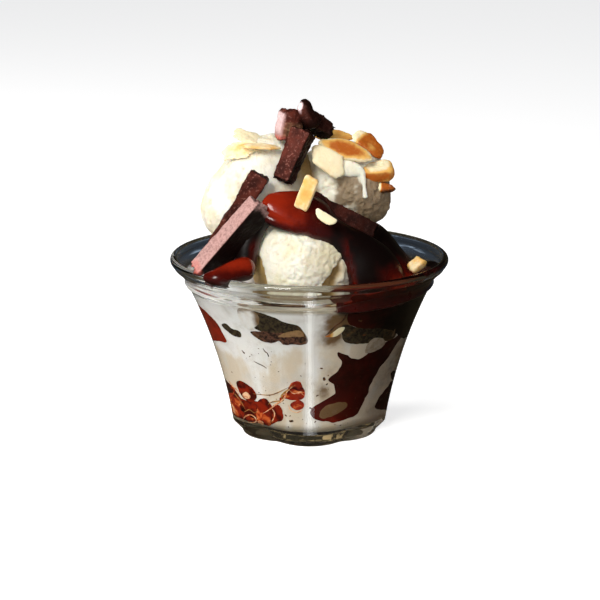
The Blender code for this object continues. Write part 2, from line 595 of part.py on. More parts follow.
# Rooms: each piece grown by the gap, to cut out of the pieces around it.
rooms = {name: build_scoop(name, GAP) for name in SCOOPS}
rooms.update({name: build_bar(name, GAP) for name in BARS})
rooms.update({name: build_almond(name, GAP) for name in ("almond_sliver_upright", "almond_sliver_sauce")})
rooms.update({name: build_wall_piece(name, GAP) for name in WALL_PIECES})
rooms["ripple"] = build_ripple(GAP)
rooms["dollop"] = build_rope("sauce_dollop", DOLLOP, GAP)
rooms["dish"] = build_dish(2.0 * GAP)
rooms["pour"] = build_pour(GAP)

# The front scoop is whole, and the two behind are pressed against it.
boolean(scoops["scoop_left"], rooms["scoop_front"], "DIFFERENCE")
boolean(scoops["scoop_right"], rooms["scoop_front"], "DIFFERENCE")
boolean(scoops["scoop_right"], rooms["scoop_left"], "DIFFERENCE")

# The fill makes room for all that is pressed into it.
for name in list(SCOOPS) + list(WALL_PIECES) + ["ripple", "dollop", "pour"]:
    boolean(fill, rooms[name], "DIFFERENCE")

# The sauce is the band and the pour together, clear of what it lies on.
boolean(sauce, pour, "UNION")
for name in ("scoop_left", "scoop_right", "scoop_front", "chocolate_bar_left", "chocolate_slab_right",
             "almond_sliver_upright", "almond_sliver_sauce"):
    boolean(sauce, rooms[name], "DIFFERENCE")

for name in SCOOPS:
    boolean(dollop, rooms[name], "DIFFERENCE")
for name in ("chocolate_bar_left", "dish"):
    boolean(dollop, rooms[name], "DIFFERENCE")

# Chocolate pieces that lean on one another.
for name, others in LEANING.items():
    for other in others:
        boolean(bars[name] if name in bars else almonds[name], rooms[other], "DIFFERENCE")

# Bars and almonds are cut to sit on the scoops.
for bar in bars.values():
    for name in SCOOPS:
        boolean(bar, rooms[name], "DIFFERENCE")
for almond in almonds.values():
    for name in SCOOPS:
        boolean(almond, rooms[name], "DIFFERENCE")
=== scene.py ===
# Looks of the ice cream sundae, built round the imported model.
# The dish stands on the floor with its foot centred on the origin and its front towards -Y.
# Places round the dish are given as degrees from the front (positive towards +X) and a height in mm.

import bpy
import numpy as np
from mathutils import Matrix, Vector


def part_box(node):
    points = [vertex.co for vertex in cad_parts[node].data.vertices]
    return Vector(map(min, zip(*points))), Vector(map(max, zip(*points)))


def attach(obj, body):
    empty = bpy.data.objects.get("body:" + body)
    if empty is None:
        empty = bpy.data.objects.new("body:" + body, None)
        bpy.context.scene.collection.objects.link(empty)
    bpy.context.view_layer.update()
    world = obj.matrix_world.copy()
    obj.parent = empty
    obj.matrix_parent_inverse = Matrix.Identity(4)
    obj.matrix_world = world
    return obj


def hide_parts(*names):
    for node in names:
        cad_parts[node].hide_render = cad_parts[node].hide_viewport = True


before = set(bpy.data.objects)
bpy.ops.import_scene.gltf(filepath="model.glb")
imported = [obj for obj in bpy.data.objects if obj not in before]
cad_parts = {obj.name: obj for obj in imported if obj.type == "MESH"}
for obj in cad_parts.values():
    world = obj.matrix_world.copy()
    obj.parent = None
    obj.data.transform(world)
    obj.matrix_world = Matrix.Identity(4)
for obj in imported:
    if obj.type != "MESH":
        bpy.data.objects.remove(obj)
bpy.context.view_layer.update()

mm = 0.001
fullTurn = 2.0 * np.pi


# Small tools for numbers.

def shade(red, green, blue):
    # linear colour of a display colour from 0 to 255: ((c + 0.055) / 1.055) to the power 2.4
    c = np.array([red, green, blue]) / 255.0
    linear = np.where(c <= 0.04045, c / 12.92, ((c + 0.055) / 1.055) ** 2.4)
    return tuple(float(v) for v in linear) + (1.0,)


def unit(vector):
    vector = np.asarray(vector, dtype=float)
    return vector / np.linalg.norm(vector, axis=-1, keepdims=True)


def rampUp(low, high, value):
    # soft step from 0 at low to 1 at high: 3t^2 - 2t^3
    t = np.clip((value - low) / (high - low), 0.0, 1.0)
    return t * t * (3.0 - 2.0 * t)


def cellValue(cell, seed):
    # a hash of whole-number cells, spread evenly between -1 and 1
    h = (cell[..., 0] * 73856093) ^ (cell[..., 1] * 19349663) ^ (cell[..., 2] * 83492791) ^ (seed * 668265263)
    h = h & 0xFFFFFFFF
    h = ((h ^ (h >> 15)) * 2246822519) & 0xFFFFFFFF
    h = ((h ^ (h >> 13)) * 3266489917) & 0xFFFFFFFF
    return ((h ^ (h >> 16)) & 0xFFFF) / 32767.5 - 1.0


def softNoise(points, size, seed=0):
    # value noise: the cell's eight corners blended with the weight 6t^5 - 15t^4 + 10t^3
    p = points / size + 57.3
    cell = np.floor(p).astype(np.int64)
    t = p - cell
    t = t * t * t * (t * (6.0 * t - 15.0) + 10.0)
    total = 0.0
    for corner in np.ndindex(2, 2, 2):
        weight = np.prod(np.where(np.array(corner) > 0, t, 1.0 - t), axis=-1)
        total = total + weight * cellValue(cell + np.array(corner), seed)
    return total


def layeredNoise(points, size, layers=4, seed=0, fade=0.5):
    # noises added up, each half the size of the one before and fade times as high
    total = 0.0
    height = 1.0
    for layer in range(layers):
        total = total + height * softNoise(points, size / 2.0 ** layer, seed + 11 * layer)
        height *= fade
    return total


def creases(points, size, layers=3, seed=0):
    # sharp valleys: layered 1 - |noise|, from about 0 to 1
    total = 0.0
    height = 0.6
    for layer in range(layers):
        total = total + height * (1.0 - np.abs(softNoise(points, size / 2.0 ** layer, seed + 7 * layer)))
        height *= 0.45
    return total


def smoothPath(stations, steps):
    # Catmull-Rom curve through the stations, with a number of steps between each pair
    stations = np.asarray(stations, dtype=float)
    padded = np.concatenate([2 * stations[:1] - stations[1:2], stations, 2 * stations[-1:] - stations[-2:-1]])
    t = (np.arange(steps) / steps)[None, :, None]
    p0, p1, p2, p3 = (padded[i:len(padded) - 3 + i, None, :] for i in range(4))
    curve = 0.5 * (2 * p1 + (p2 - p0) * t + (2 * p0 - 5 * p1 + 4 * p2 - p3) * t ** 2
                   + (3 * p1 - p0 - 3 * p2 + p3) * t ** 3)
    return np.concatenate([curve.reshape(-1, stations.shape[1]), stations[-1:]])


def evenly(path, count):
    # the same path with count points spaced evenly along it
    step = np.linalg.norm(np.diff(path, axis=0), axis=1)
    along = np.concatenate([[0.0], np.cumsum(step)])
    where = np.linspace(0.0, along[-1], count)
    return np.stack([np.interp(where, along, path[:, i]) for i in range(path.shape[1])], -1)


def smoothLoop(points, count):
    # closed Catmull-Rom curve through the points, with count points spaced evenly
    points = np.asarray(points, dtype=float)
    padded = np.concatenate([points[-2:], points, points[:3]])
    path = smoothPath(padded, 16)
    start, end = 2 * 16, (2 + len(points)) * 16
    return evenly(path[start:end + 1], count + 1)[:-1]


# Small tools for meshes.

def onDish(azimuth, radius, height):
    # x = r sin a, y = -r cos a, z = height
    azimuth, radius, height = np.broadcast_arrays(azimuth, radius, height)
    return np.stack([radius * np.sin(azimuth), -radius * np.cos(azimuth), height], -1)


def gridNormals(rings):
    # cross product of the steps along and around, turned away from each ring's middle
    along = np.gradient(rings, axis=0)
    around = np.roll(rings, -1, axis=1) - np.roll(rings, 1, axis=1)
    normal = np.cross(along, around)
    normal /= np.maximum(np.linalg.norm(normal, axis=-1, keepdims=True), 1e-12)
    outward = rings - rings.mean(axis=(0, 1))
    sign = np.sign((normal * outward).sum(-1).sum())
    return normal * sign


def ringPiece(name, rings, material, slot, nodes=(), first=None, last=None, marks=None, smooth=True):
    # a closed skin over rings of points, drawn together at a pole at each end
    count, around = rings.shape[:2]
    first = rings[0].mean(axis=0) if first is None else first
    last = rings[-1].mean(axis=0) if last is None else last
    points = np.concatenate([rings.reshape(-1, 3), [first, last]])
    base = np.arange(count - 1)[:, None] * around
    step = np.arange(around)[None, :]
    after = (np.arange(around)[None, :] + 1) % around
    quads = np.stack([base + step, base + after, base + around + after, base + around + step], -1).reshape(-1, 4)
    tip = count * around
    end = (count - 1) * around
    ring = np.arange(around)
    nextOne = (ring + 1) % around
    caps = np.concatenate([
        np.stack([np.full(around, tip), nextOne, ring], -1),
        np.stack([np.full(around, tip + 1), end + ring, end + nextOne], -1),
    ])
    corner = points[quads]
    volume = (np.cross(corner[:, 1] - corner[:, 0], corner[:, 2] - corner[:, 0]) * corner[:, 0]).sum()
    volume += (np.cross(corner[:, 2] - corner[:, 0], corner[:, 3] - corner[:, 0]) * corner[:, 0]).sum()
    if volume < 0.0:
        quads = quads[:, ::-1]
        caps = caps[:, ::-1]
    values = {}
    for key, value in (marks or {}).items():
        value = np.broadcast_to(value, (count, around))
        values[key] = np.concatenate([value.reshape(-1), [value[0].mean(), value[-1].mean()]])
    return meshPiece(name, points, quads.tolist() + caps.tolist(), material, slot, nodes, values, smooth)


def meshPiece(name, points, faces, material, slot, nodes=(), marks=None, smooth=True):
    # points in mm, faces as lists of their numbers, marks as one value for each point
    mesh = bpy.data.meshes.new(name)
    mesh.from_pydata((points * mm).tolist(), [], faces)
    mesh.update()
    if smooth:
        mesh.shade_smooth()
    for key, value in (marks or {}).items():
        mark = mesh.attributes.new(key, "FLOAT", "POINT")
        mark.data.foreach_set("value", np.asarray(value, dtype=np.float32))
    mesh.materials.append(material)
    piece = bpy.data.objects.new(name, mesh)
    bpy.context.scene.collection.objects.link(piece)
    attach(piece, "root")
    if nodes:
        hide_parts(*nodes)
    return piece


def ropeRings(spine, outward, wide, tall, around):
    # ellipses along a spine: wide cos t across it, tall sin t along outward
    tangent = unit(np.gradient(spine, axis=0))
    outward = unit(outward - (outward * tangent).sum(-1, keepdims=True) * tangent)
    across = np.cross(tangent, outward)
    t = np.arange(around) * fullTurn / around
    side = wide[:, None, None] * np.cos(t)[None, :, None] * across[:, None, :]
    rise = tall[:, None, None] * np.sin(t)[None, :, None] * outward[:, None, :]
    return spine[:, None, :] + side + rise


# Small tools for materials.

def addNode(tree, kind, inputs=None, **settings):
    node = tree.nodes.new(kind)
    for key, value in settings.items():
        setattr(node, key, value)
    for key, value in (inputs or {}).items():
        if isinstance(value, bpy.types.NodeSocket):
            tree.links.new(value, node.inputs[key])
        else:
            node.inputs[key].default_value = value
    return node


def newMaterial(name):
    material = bpy.data.materials.new(name)
    material.use_nodes = True
    tree = material.node_tree
    shader = tree.nodes["Principled BSDF"]
    place = addNode(tree, "ShaderNodeTexCoord").outputs["Object"]
    return material, tree, shader, place


def setShader(shader, **values):
    # plain numbers straight onto the shader's own sockets
    for key, value in values.items():
        shader.inputs[key.replace("_", " ")].default_value = value


def noise(tree, place, size, detail=3.0, roughness=0.55, stretch=None):
    # grain of a given size in mm, from 0 to 1
    if stretch:
        place = addNode(tree, "ShaderNodeMapping", {"Vector": place, "Scale": stretch}).outputs[0]
    node = addNode(tree, "ShaderNodeTexNoise", {"Vector": place, "Scale": 1000.0 / size, "Detail": detail,
                                                "Roughness": roughness})
    return node.outputs["Fac"]


def readMark(tree, name):
    return addNode(tree, "ShaderNodeAttribute", attribute_name=name).outputs["Fac"]


def blendColours(tree, factor, first, second, how="MIX"):
    node = addNode(tree, "ShaderNodeMix", data_type="RGBA", blend_type=how)
    for index, value in ((0, factor), (6, first), (7, second)):
        if isinstance(value, bpy.types.NodeSocket):
            tree.links.new(value, node.inputs[index])
        else:
            node.inputs[index].default_value = value
    return node.outputs[2]


def sums(tree, how, *values):
    # one step of arithmetic on sockets or numbers, kept between 0 and 1 where asked
    node = addNode(tree, "ShaderNodeMath", operation=how)
    for index, value in enumerate(values):
        if isinstance(value, bpy.types.NodeSocket):
            tree.links.new(value, node.inputs[index])
        else:
            node.inputs[index].default_value = value
    return node.outputs[0]


def between(tree, value, low, high, toLow=0.0, toHigh=1.0):
    node = addNode(tree, "ShaderNodeMapRange", {"Value": value, "From Min": low, "From Max": high,
                                                "To Min": toLow, "To Max": toHigh}, interpolation_type="SMOOTHSTEP")
    return node.outputs[0]


def bump(tree, shader, height, depth, strength=1.0):
    # depth in mm between the grain's lowest and highest points
    node = addNode(tree, "ShaderNodeBump", {"Height": height, "Strength": strength, "Distance": depth * mm})
    tree.links.new(node.outputs[0], shader.inputs["Normal"])


# The dish's shape, shared by the glass and what touches it.

dish = {
    "footRadius": 29.8, "footRound": 2.2,
    "heelRadius": 33.9, "heelHeight": 6.5,
    "shoulderRadius": 51.6, "shoulderHeight": 63.6,
    "straightShare": 0.53,
    "ledgeRadius": 53.5, "ledgeHeight": 67.2,
    "wall": 4.0, "lipSlope": 1.03,
    "base": 7.0, "floorRound": 4.5,
    "lobes": 6, "lobeDepth": 1.5, "lobeTop": 61.0,
}
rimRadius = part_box("glass_dish")[1][0] / mm
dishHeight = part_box("glass_dish")[1][2] / mm


def flare(height):
    # heel + (shoulder - heel)(a s + (1 - a) s^2), in mm
    s = np.clip((height - dish["heelHeight"]) / (dish["shoulderHeight"] - dish["heelHeight"]), 0.0, 1.3)
    share = dish["straightShare"]
    return dish["heelRadius"] + (dish["shoulderRadius"] - dish["heelRadius"]) * (share * s + (1.0 - share) * s ** 2)


def innerRadius(height):
    # the flare less the wall, a straight slope above the ledge, and a quarter circle at the floor, in mm
    body = flare(np.minimum(height, dish["ledgeHeight"])) - dish["wall"]
    wall = body + np.maximum(height - dish["ledgeHeight"], 0.0) * dish["lipSlope"]
    up = np.clip((height - dish["base"]) / dish["floorRound"], 0.0, 1.0)
    return wall - dish["floorRound"] * (1.0 - np.sqrt(1.0 - (1.0 - up) ** 2))


def petal(azimuth):
    # rounded lobes with crisp valleys: sqrt(cos^2(3a) + 0.03), stretched to run from -1 to 1
    wave = np.sqrt(np.cos(0.5 * dish["lobes"] * azimuth) ** 2 + 0.03)
    return 2.0 * (wave - 0.17) / (np.sqrt(1.03) - 0.17) - 1.0


# Finishes.

glassFinish = {"tint": (0.90, 0.94, 0.93, 1.0), "roughness": 0.022, "ior": 1.5, "rippleSize": 26.0, "rippleDepth": 0.02}


def makeGlassMaterial():
    material, tree, shader, place = newMaterial("pressed_glass")
    setShader(shader, Base_Color=glassFinish["tint"], Roughness=glassFinish["roughness"], IOR=glassFinish["ior"],
              Transmission_Weight=1.0)
    bump(tree, shader, noise(tree, place, glassFinish["rippleSize"], 2.0), glassFinish["rippleDepth"])
    return material


# the hollow and grey colours are painted shade: ochre for hollows and creases, grey-brown for sides turned from the
# light
creamFinish = {
    "white": shade(240, 237, 222), "cream": shade(232, 222, 184), "hollowShade": shade(172, 138, 74), "greyShade": shade(132, 109, 81),
    "leftWhite": shade(230, 228, 219), "leftCream": shade(224, 213, 180),
    "grain": 1.2, "grainDepth": 0.32, "softness": 0.26,
}


def makeScoopMaterial(name, white, cream, creamShare, hollowShadeShare=1.0):
    # white and cream blended in soft patches, with painted shade: ochre in the scoop's hollows and creases, and
    # grey-brown on its shaded sides, each where its mark says
    material, tree, shader, place = newMaterial(name)
    patches = between(tree, noise(tree, place, 14.0, 3.0), 0.35, 0.68)
    patches = sums(tree, "MULTIPLY", patches, creamShare)
    colour = blendColours(tree, patches, creamFinish[white], creamFinish[cream])
    hollowShade = sums(tree, "MULTIPLY", readMark(tree, "hollowShade"), hollowShadeShare)
    colour = blendColours(tree, hollowShade, colour, creamFinish["hollowShade"])
    # painted shade: grey-brown on the scoop's shaded sides
    colour = blendColours(tree, readMark(tree, "greyShade"), colour, creamFinish["greyShade"])
    tree.links.new(colour, shader.inputs["Base Color"])
    wet = between(tree, noise(tree, place, 5.0, 2.0), 0.3, 0.7, 0.42, 0.62)
    tree.links.new(wet, shader.inputs["Roughness"])
    setShader(shader, Subsurface_Weight=creamFinish["softness"], Subsurface_Radius=(1.0, 0.62, 0.35),
              Subsurface_Scale=0.003, Specular_IOR_Level=0.35)
    grain = sums(tree, "ADD", noise(tree, place, creamFinish["grain"], 4.0, 0.65),
                 sums(tree, "MULTIPLY", noise(tree, place, 0.45, 2.0), 0.4))
    bump(tree, shader, grain, creamFinish["grainDepth"])
    return material


# top is painted shade: grey-beige for the cream near the fill's level, in the shade of the dish's lip
wallCream = {
    "white": shade(227, 225, 223), "beige": shade(208, 194, 174), "brown": shade(108, 82, 54), "top": shade(150, 141, 124),
    "shade": shade(200, 195, 188),
}


def makeWallCreamMaterial():
    # white, beige and brown as the marks say, with fine vertical smears where it rubbed along the glass, and painted
    # shade in grey-beige where the mark top says
    material, tree, shader, place = newMaterial("ice_cream_at_wall")
    streaks = between(tree, noise(tree, place, 3.6, 5.0, 0.62, (1.0, 1.0, 0.22)), 0.32, 0.70, -0.25, 0.25)
    beige = sums(tree, "ADD", readMark(tree, "beige"), streaks)
    colour = blendColours(tree, between(tree, beige, 0.0, 1.0), wallCream["white"], wallCream["beige"])
    blotches = between(tree, noise(tree, place, 9.0, 4.0, 0.6), 0.48, 0.72, 0.0, 0.7)
    colour = blendColours(tree, blotches, colour, wallCream["shade"])
    brown = sums(tree, "ADD", readMark(tree, "brown"), between(tree, noise(tree, place, 3.0, 4.0, 0.65), 0.3, 0.7, -0.12, 0.12))
    colour = blendColours(tree, between(tree, brown, 0.05, 1.0), colour, wallCream["brown"])
    # painted shade: grey-beige where the mark top says
    colour = blendColours(tree, readMark(tree, "top"), colour, wallCream["top"])
    tree.links.new(colour, shader.inputs["Base Color"])
    setShader(shader, Roughness=0.6, Specular_IOR_Level=0.12, Subsurface_Weight=0.12,
              Subsurface_Radius=(1.0, 0.62, 0.35), Subsurface_Scale=0.0015)
    bump(tree, shader, noise(tree, place, 1.6, 3.0), 0.12)
    return material


sauceFinish = {
    "lit": shade(130, 31, 11), "deep": shade(62, 9, 5), "night": shade(12, 3, 2), "roughness": 0.17, "dull": 0.42,
}


def makeSauceMaterial(name, wet=True):
    # painted light: night black to deep red-brown to lit red-brown as the mark lit rises, broken up by soft noise
    material, tree, shader, place = newMaterial(name)
    lit = sums(tree, "ADD", readMark(tree, "lit"), between(tree, noise(tree, place, 6.0, 3.0), 0.3, 0.7, -0.08, 0.08))
    colour = blendColours(tree, between(tree, lit, 0.05, 0.5), sauceFinish["night"], sauceFinish["deep"])
    colour = blendColours(tree, between(tree, lit, 0.5, 1.0), colour, sauceFinish["lit"])
    tree.links.new(colour, shader.inputs["Base Color"])
    setShader(shader, Roughness=0.45, IOR=1.45, Specular_IOR_Level=0.34 if wet else 0.08)
    if wet:
        rough = between(tree, lit, 0.1, 0.6, sauceFinish["dull"], sauceFinish["roughness"])
        tree.links.new(rough, shader.inputs["Roughness"])
        setShader(shader, Coat_Weight=0.08, Coat_Roughness=0.08)
    bump(tree, shader, noise(tree, place, 5.0, 3.0), 0.12 if wet else 0.05)
    return material


swirlFinish = {"red": shade(140, 34, 14), "orange": shade(196, 92, 44), "deep": shade(74, 14, 8), "beige": shade(226, 182, 138)}


def makeSwirlMaterial():
    # sauce stirred into melted cream: deep red, orange and beige in curling threads
    material, tree, shader, place = newMaterial("sauce_swirled_with_cream")
    warp = addNode(tree, "ShaderNodeTexNoise", {"Vector": place, "Scale": 140.0, "Detail": 2.0})
    push = addNode(tree, "ShaderNodeVectorMath", {0: warp.outputs["Color"], 1: (0.012, 0.012, 0.012)}, operation="MULTIPLY")
    moved = addNode(tree, "ShaderNodeVectorMath", {0: place, 1: push.outputs[0]}, operation="ADD").outputs[0]
    threads = noise(tree, moved, 5.5, 3.0, 0.5)
    colour = blendColours(tree, between(tree, threads, 0.38, 0.50), swirlFinish["deep"], swirlFinish["red"])
    colour = blendColours(tree, between(tree, threads, 0.52, 0.60), colour, swirlFinish["orange"])
    colour = blendColours(tree, between(tree, threads, 0.62, 0.68), colour, swirlFinish["beige"])
    tree.links.new(colour, shader.inputs["Base Color"])
    setShader(shader, Roughness=0.4, Specular_IOR_Level=0.1)
    bump(tree, shader, threads, 0.15)
    return material


threadFinish = {
    "peach": shade(232, 192, 154), "rust": shade(196, 112, 66), "ochre": shade(172, 124, 66), "umber": shade(96, 58, 30),
    "black": shade(26, 15, 10),
}


def makeThreadMaterial(name, first, second):
    # thin strings of sauce and cream, or crumbs: two colours in grains of a millimetre or two
    material, tree, shader, place = newMaterial(name)
    grain = noise(tree, place, 1.4, 4.0, 0.6)
    colour = blendColours(tree, between(tree, grain, 0.40, 0.62), threadFinish[first], threadFinish[second])
    tree.links.new(colour, shader.inputs["Base Color"])
    setShader(shader, Roughness=0.45, Specular_IOR_Level=0.15)
    bump(tree, shader, grain, 0.08)
    return material


chocolateFinish = {
    "dark": shade(92, 42, 32), "night": shade(54, 22, 16), "grain": shade(176, 118, 106), "bloomAndLitFace": shade(182, 144, 138),
    "layer": shade(164, 128, 96), "shadow": shade(17, 7, 5), "warm": shade(206, 104, 92), "gleam": shade(255, 226, 228),
}


def makeChocolateMaterial():
    # dark, broken up by paler grain, with a pinkish colour where a mark says so: sugar bloom, and painted light on the
    # broad face turned towards the lamp
    material, tree, shader, place = newMaterial("dark_chocolate")
    grain = noise(tree, place, 1.1, 4.0, 0.7)
    patches = noise(tree, place, 6.0, 3.0)
    colour = blendColours(tree, between(tree, patches, 0.35, 0.65), chocolateFinish["dark"], chocolateFinish["night"])
    colour = blendColours(tree, between(tree, grain, 0.54, 0.74, 0.0, 0.7), colour, chocolateFinish["grain"])
    colour = blendColours(tree, readMark(tree, "layers"), colour, chocolateFinish["layer"])
    colour = blendColours(tree, readMark(tree, "shadow"), colour, chocolateFinish["shadow"])
    bloomAndLitFace = readMark(tree, "bloomAndLitFace")
    speckle = sums(tree, "MULTIPLY", bloomAndLitFace, between(tree, grain, 0.30, 0.62, 0.45, 1.0))
    colour = blendColours(tree, speckle, colour, chocolateFinish["bloomAndLitFace"])
    warm = sums(tree, "MULTIPLY", readMark(tree, "warm"), between(tree, grain, 0.35, 0.6, 0.4, 1.0))
    colour = blendColours(tree, warm, colour, chocolateFinish["warm"])
    gleam = sums(tree, "MULTIPLY", readMark(tree, "gleam"), between(tree, grain, 0.25, 0.5, 0.6, 1.0))
    colour = blendColours(tree, gleam, colour, chocolateFinish["gleam"])
    tree.links.new(colour, shader.inputs["Base Color"])
    rough = between(tree, patches, 0.3, 0.7, 0.34, 0.58)
    tree.links.new(rough, shader.inputs["Roughness"])
    setShader(shader, Specular_IOR_Level=0.10)
    bump(tree, shader, sums(tree, "ADD", grain, sums(tree, "MULTIPLY", noise(tree, place, 0.35, 2.0), 0.5)), 0.20)
    return material


brownieFinish = {
    "skin": shade(66, 56, 36), "crumb": shade(104, 68, 52), "tan": shade(146, 112, 76),
    "pore": shade(28, 17, 12), "edge": shade(128, 94, 52),
}


def makeBrownieMaterial(name, first, edgeShare, soft=0.0):
    material, tree, shader, place = newMaterial(name)
    pores = between(tree, noise(tree, place, 1.5 + 3.0 * soft, 4.0, 0.7), 0.38 - 0.4 * soft, 0.62 - 0.1 * soft)
    colour = blendColours(tree, pores, brownieFinish["pore"], first)
    stain = between(tree, noise(tree, place, 7.0, 3.0), 0.5, 0.7, 0.0, edgeShare)
    colour = blendColours(tree, stain, colour, brownieFinish["edge"])
    tree.links.new(colour, shader.inputs["Base Color"])
    setShader(shader, Roughness=0.7, Specular_IOR_Level=0.15)
    bump(tree, shader, pores, 0.25)
    return material


almondFinish = {
    "pale": shade(240, 226, 188), "golden": shade(226, 176, 92), "brown": shade(176, 90, 18), "burnt": shade(78, 42, 16),
}


def makeAlmondMaterial():
    # pale to golden to brown as the mark "toast" rises, with fine fibres
    material, tree, shader, place = newMaterial("almond")
    patches = between(tree, noise(tree, place, 5.0, 3.0), 0.3, 0.7, -0.16, 0.16)
    toast = sums(tree, "ADD", readMark(tree, "toast"), patches)
    colour = blendColours(tree, between(tree, toast, 0.05, 0.55), almondFinish["pale"], almondFinish["golden"])
    colour = blendColours(tree, between(tree, toast, 0.5, 1.0), colour, almondFinish["brown"])
    colour = blendColours(tree, between(tree, toast, 1.2, 1.7), colour, almondFinish["burnt"])
    fibre = noise(tree, place, 1.0, 3.0, 0.6)
    colour = blendColours(tree, between(tree, fibre, 0.55, 0.75, 0.0, 0.25), colour, almondFinish["golden"])
    tree.links.new(colour, shader.inputs["Base Color"])
    setShader(shader, Roughness=0.5, Specular_IOR_Level=0.4, Subsurface_Weight=0.2,
              Subsurface_Radius=(1.0, 0.6, 0.3), Subsurface_Scale=0.0012)
    bump(tree, shader, fibre, 0.10)
    return material


glass = makeGlassMaterial()
frontCream = makeScoopMaterial("ice_cream_front", "white", "cream", 0.85)
leftCream = makeScoopMaterial("ice_cream_left", "leftWhite", "leftCream", 0.9, 1.0)
rightCream = makeScoopMaterial("ice_cream_right", "white", "cream", 0.6, 1.0)
creamAtWall = makeWallCreamMaterial()
sauce = makeSauceMaterial("chocolate_sauce")
sauceAtWall = makeSauceMaterial("sauce_at_wall", wet=False)
swirl = makeSwirlMaterial()
chocolate = makeChocolateMaterial()
brownieSkin = makeBrownieMaterial("brownie_skin", brownieFinish["skin"], 0.5)
brownieCrumb = makeBrownieMaterial("brownie_crumb", brownieFinish["crumb"], 0.2)
brownieTan = makeBrownieMaterial("brownie_edge", brownieFinish["tan"], 0.0, 0.5)
almond = makeAlmondMaterial()
peachThread = makeThreadMaterial("peach_thread", "peach", "rust")
ochreThread = makeThreadMaterial("ochre_thread", "ochre", "umber")
darkThread = makeThreadMaterial("dark_crumb", "umber", "black")
print("finishes made")


# The glass dish.

glassShape = {
    "around": 288, "bodySteps": 70, "rimRound": 1.7, "beadHeight": 66.2, "bead": 0.55,
    "lip": [(53.6, 67.4), (54.5, 69.2), (56.2, 71.2), (58.3, 73.1)],
    "waviness": 0.05,
}


def makeGlassDish():
    # outline from the foot up the outside, over the rim and down the inside, turned round the axis,
    # with the lobes added to the outside: lobeDepth (1 - (z / lobeTop)^2) petal(a)
    t = np.linspace(-0.5 * np.pi, 0.0, 7)
    foot = np.stack([dish["footRadius"] + dish["footRound"] * (np.cos(t) - 1.0), dish["footRound"] * (1.0 + np.sin(t))], -1)
    z = np.linspace(dish["heelHeight"], dish["shoulderHeight"], glassShape["bodySteps"])
    body = np.stack([flare(z), z], -1)
    rise = np.linspace(0.12, 1.0, 8)
    step = dish["ledgeRadius"] - dish["shoulderRadius"]
    climb = dish["ledgeHeight"] - dish["shoulderHeight"]
    ledgeZ = dish["shoulderHeight"] + climb * rise
    ledge = np.stack([dish["shoulderRadius"] + step * np.sin(rise * np.pi / 2.0)
                      + glassShape["bead"] * np.exp(-((ledgeZ - glassShape["beadHeight"]) / 0.9) ** 2), ledgeZ], -1)
    lip = smoothPath(glassShape["lip"], 5)
    r = glassShape["rimRound"]
    t = np.linspace(-0.22 * np.pi, 0.80 * np.pi, 14)
    rim = np.stack([rimRadius - r + r * np.cos(t), dishHeight - r + r * np.sin(t)], -1)
    z = np.concatenate([np.linspace(dishHeight - 3.4, dish["ledgeHeight"], 12),
                        np.linspace(dish["ledgeHeight"] - 0.8, dish["base"] + dish["floorRound"], 40)])
    t = np.linspace(1.0, 0.0, 9)[1:]
    low = dish["base"] + dish["floorRound"] * (1.0 - np.cos(0.5 * np.pi * t))
    z = np.concatenate([z, low])
    inside = np.stack([innerRadius(z), z], -1)
    inside = np.concatenate([inside, [[20.0, dish["base"]], [8.0, dish["base"]]]])
    outside = np.concatenate([[[10.0, 0.25], [22.0, 0.25], [26.0, 0.0]], foot, body, ledge, lip, rim])
    azimuth = np.arange(glassShape["around"]) * fullTurn / glassShape["around"]
    fade = dish["lobeDepth"] * np.clip(1.0 - (outside[:, 1] / dish["lobeTop"]) ** 2, 0.0, 1.0)
    fade *= rampUp(20.0, 27.0, outside[:, 0])
    outer = onDish(azimuth[None, :], outside[:, :1] + fade[:, None] * petal(azimuth)[None, :], outside[:, 1:])
    wave = glassShape["waviness"] * softNoise(outer, 13.0, 5)
    outer[..., :2] *= (1.0 + wave / outside[:, :1] * (outside[:, 1:] < 70.0))[..., None]
    inner = onDish(azimuth[None, :], inside[:, :1], inside[:, 1:])
    rings = np.concatenate([outer, inner])
    piece = ringPiece("glassDish", rings, glass, "clear_glass", ["glass_dish"],
                      np.array([0.0, 0.0, 0.25]), np.array([0.0, 0.0, dish["base"]]))
    piece.visible_shadow = False


makeGlassDish()
print("glass dish made")


# The ice cream that fills the dish.

fill = {
    "level": 65.5, "reach": 0.10, "around": 300, "wallSteps": 110, "topSteps": 70,
    "centreMound": {"at": (2.0, 3.0), "rise": 25.0, "spread": (20.0, 16.5)},
    "rightMound": {"at": (30.0, -9.0), "rise": 15.0, "spread": (9.5, 13.5)},
    "relief": 1.0, "edgeWobble": 0.8,
}


def mound(x, y):
    # the level at the wall plus two hills: rise exp(-((dx / a)^2 + (dy / b)^2) / 2)
    height = np.full(np.broadcast(x, y).shape, fill["level"])
    for hill in (fill["centreMound"], fill["rightMound"]):
        dx = (x - hill["at"][0]) / hill["spread"][0]
        dy = (y - hill["at"][1]) / hill["spread"][1]
        height = height + hill["rise"] * np.exp(-0.5 * (dx ** 2 + dy ** 2))
    return height


# Where white turns to beige at the wall; brown patches (azimuth, height, spread in both, strength), stains except for
# the painted shade on the right side at 58 and 75 degrees; and pale upright bands, painted reflections of the glass.
meltLine = [(-180, 42), (-92, 40), (-67, 39.7), (-48, 40.7), (-37, 38.9), (-28, 36.7), (-14, 46.5), (-2, 49.1), (14, 54), (40, 52), (180, 42)]
brownPatches = [(9, 27, 5, 5, 0.75), (14, 37, 6, 4, 0.35), (12, 58.5, 6.5, 7, 1.25), (20, 63, 7, 6, 0.7), (12, 51, 7, 3, 0.5), (40, 56, 16, 5, 0.7),
          (58, 33, 10, 9, 0.35), (75, 34, 14, 14, 0.5), (-45, 7.5, 22, 2.0, 0.45), (0, 7.5, 20, 1.8, 0.35),
          (-23, 50, 12, 1.6, 0.25), (60, 12, 16, 5, 0.45), (-100, 25, 16, 12, 0.3), (120, 40, 30, 20, 0.5)]
paleReflectionBands = [(1, 6, 0.85), (-16, 5, 0.35), (-38, 8, 0.85), (22, 2.5, 0.3)]


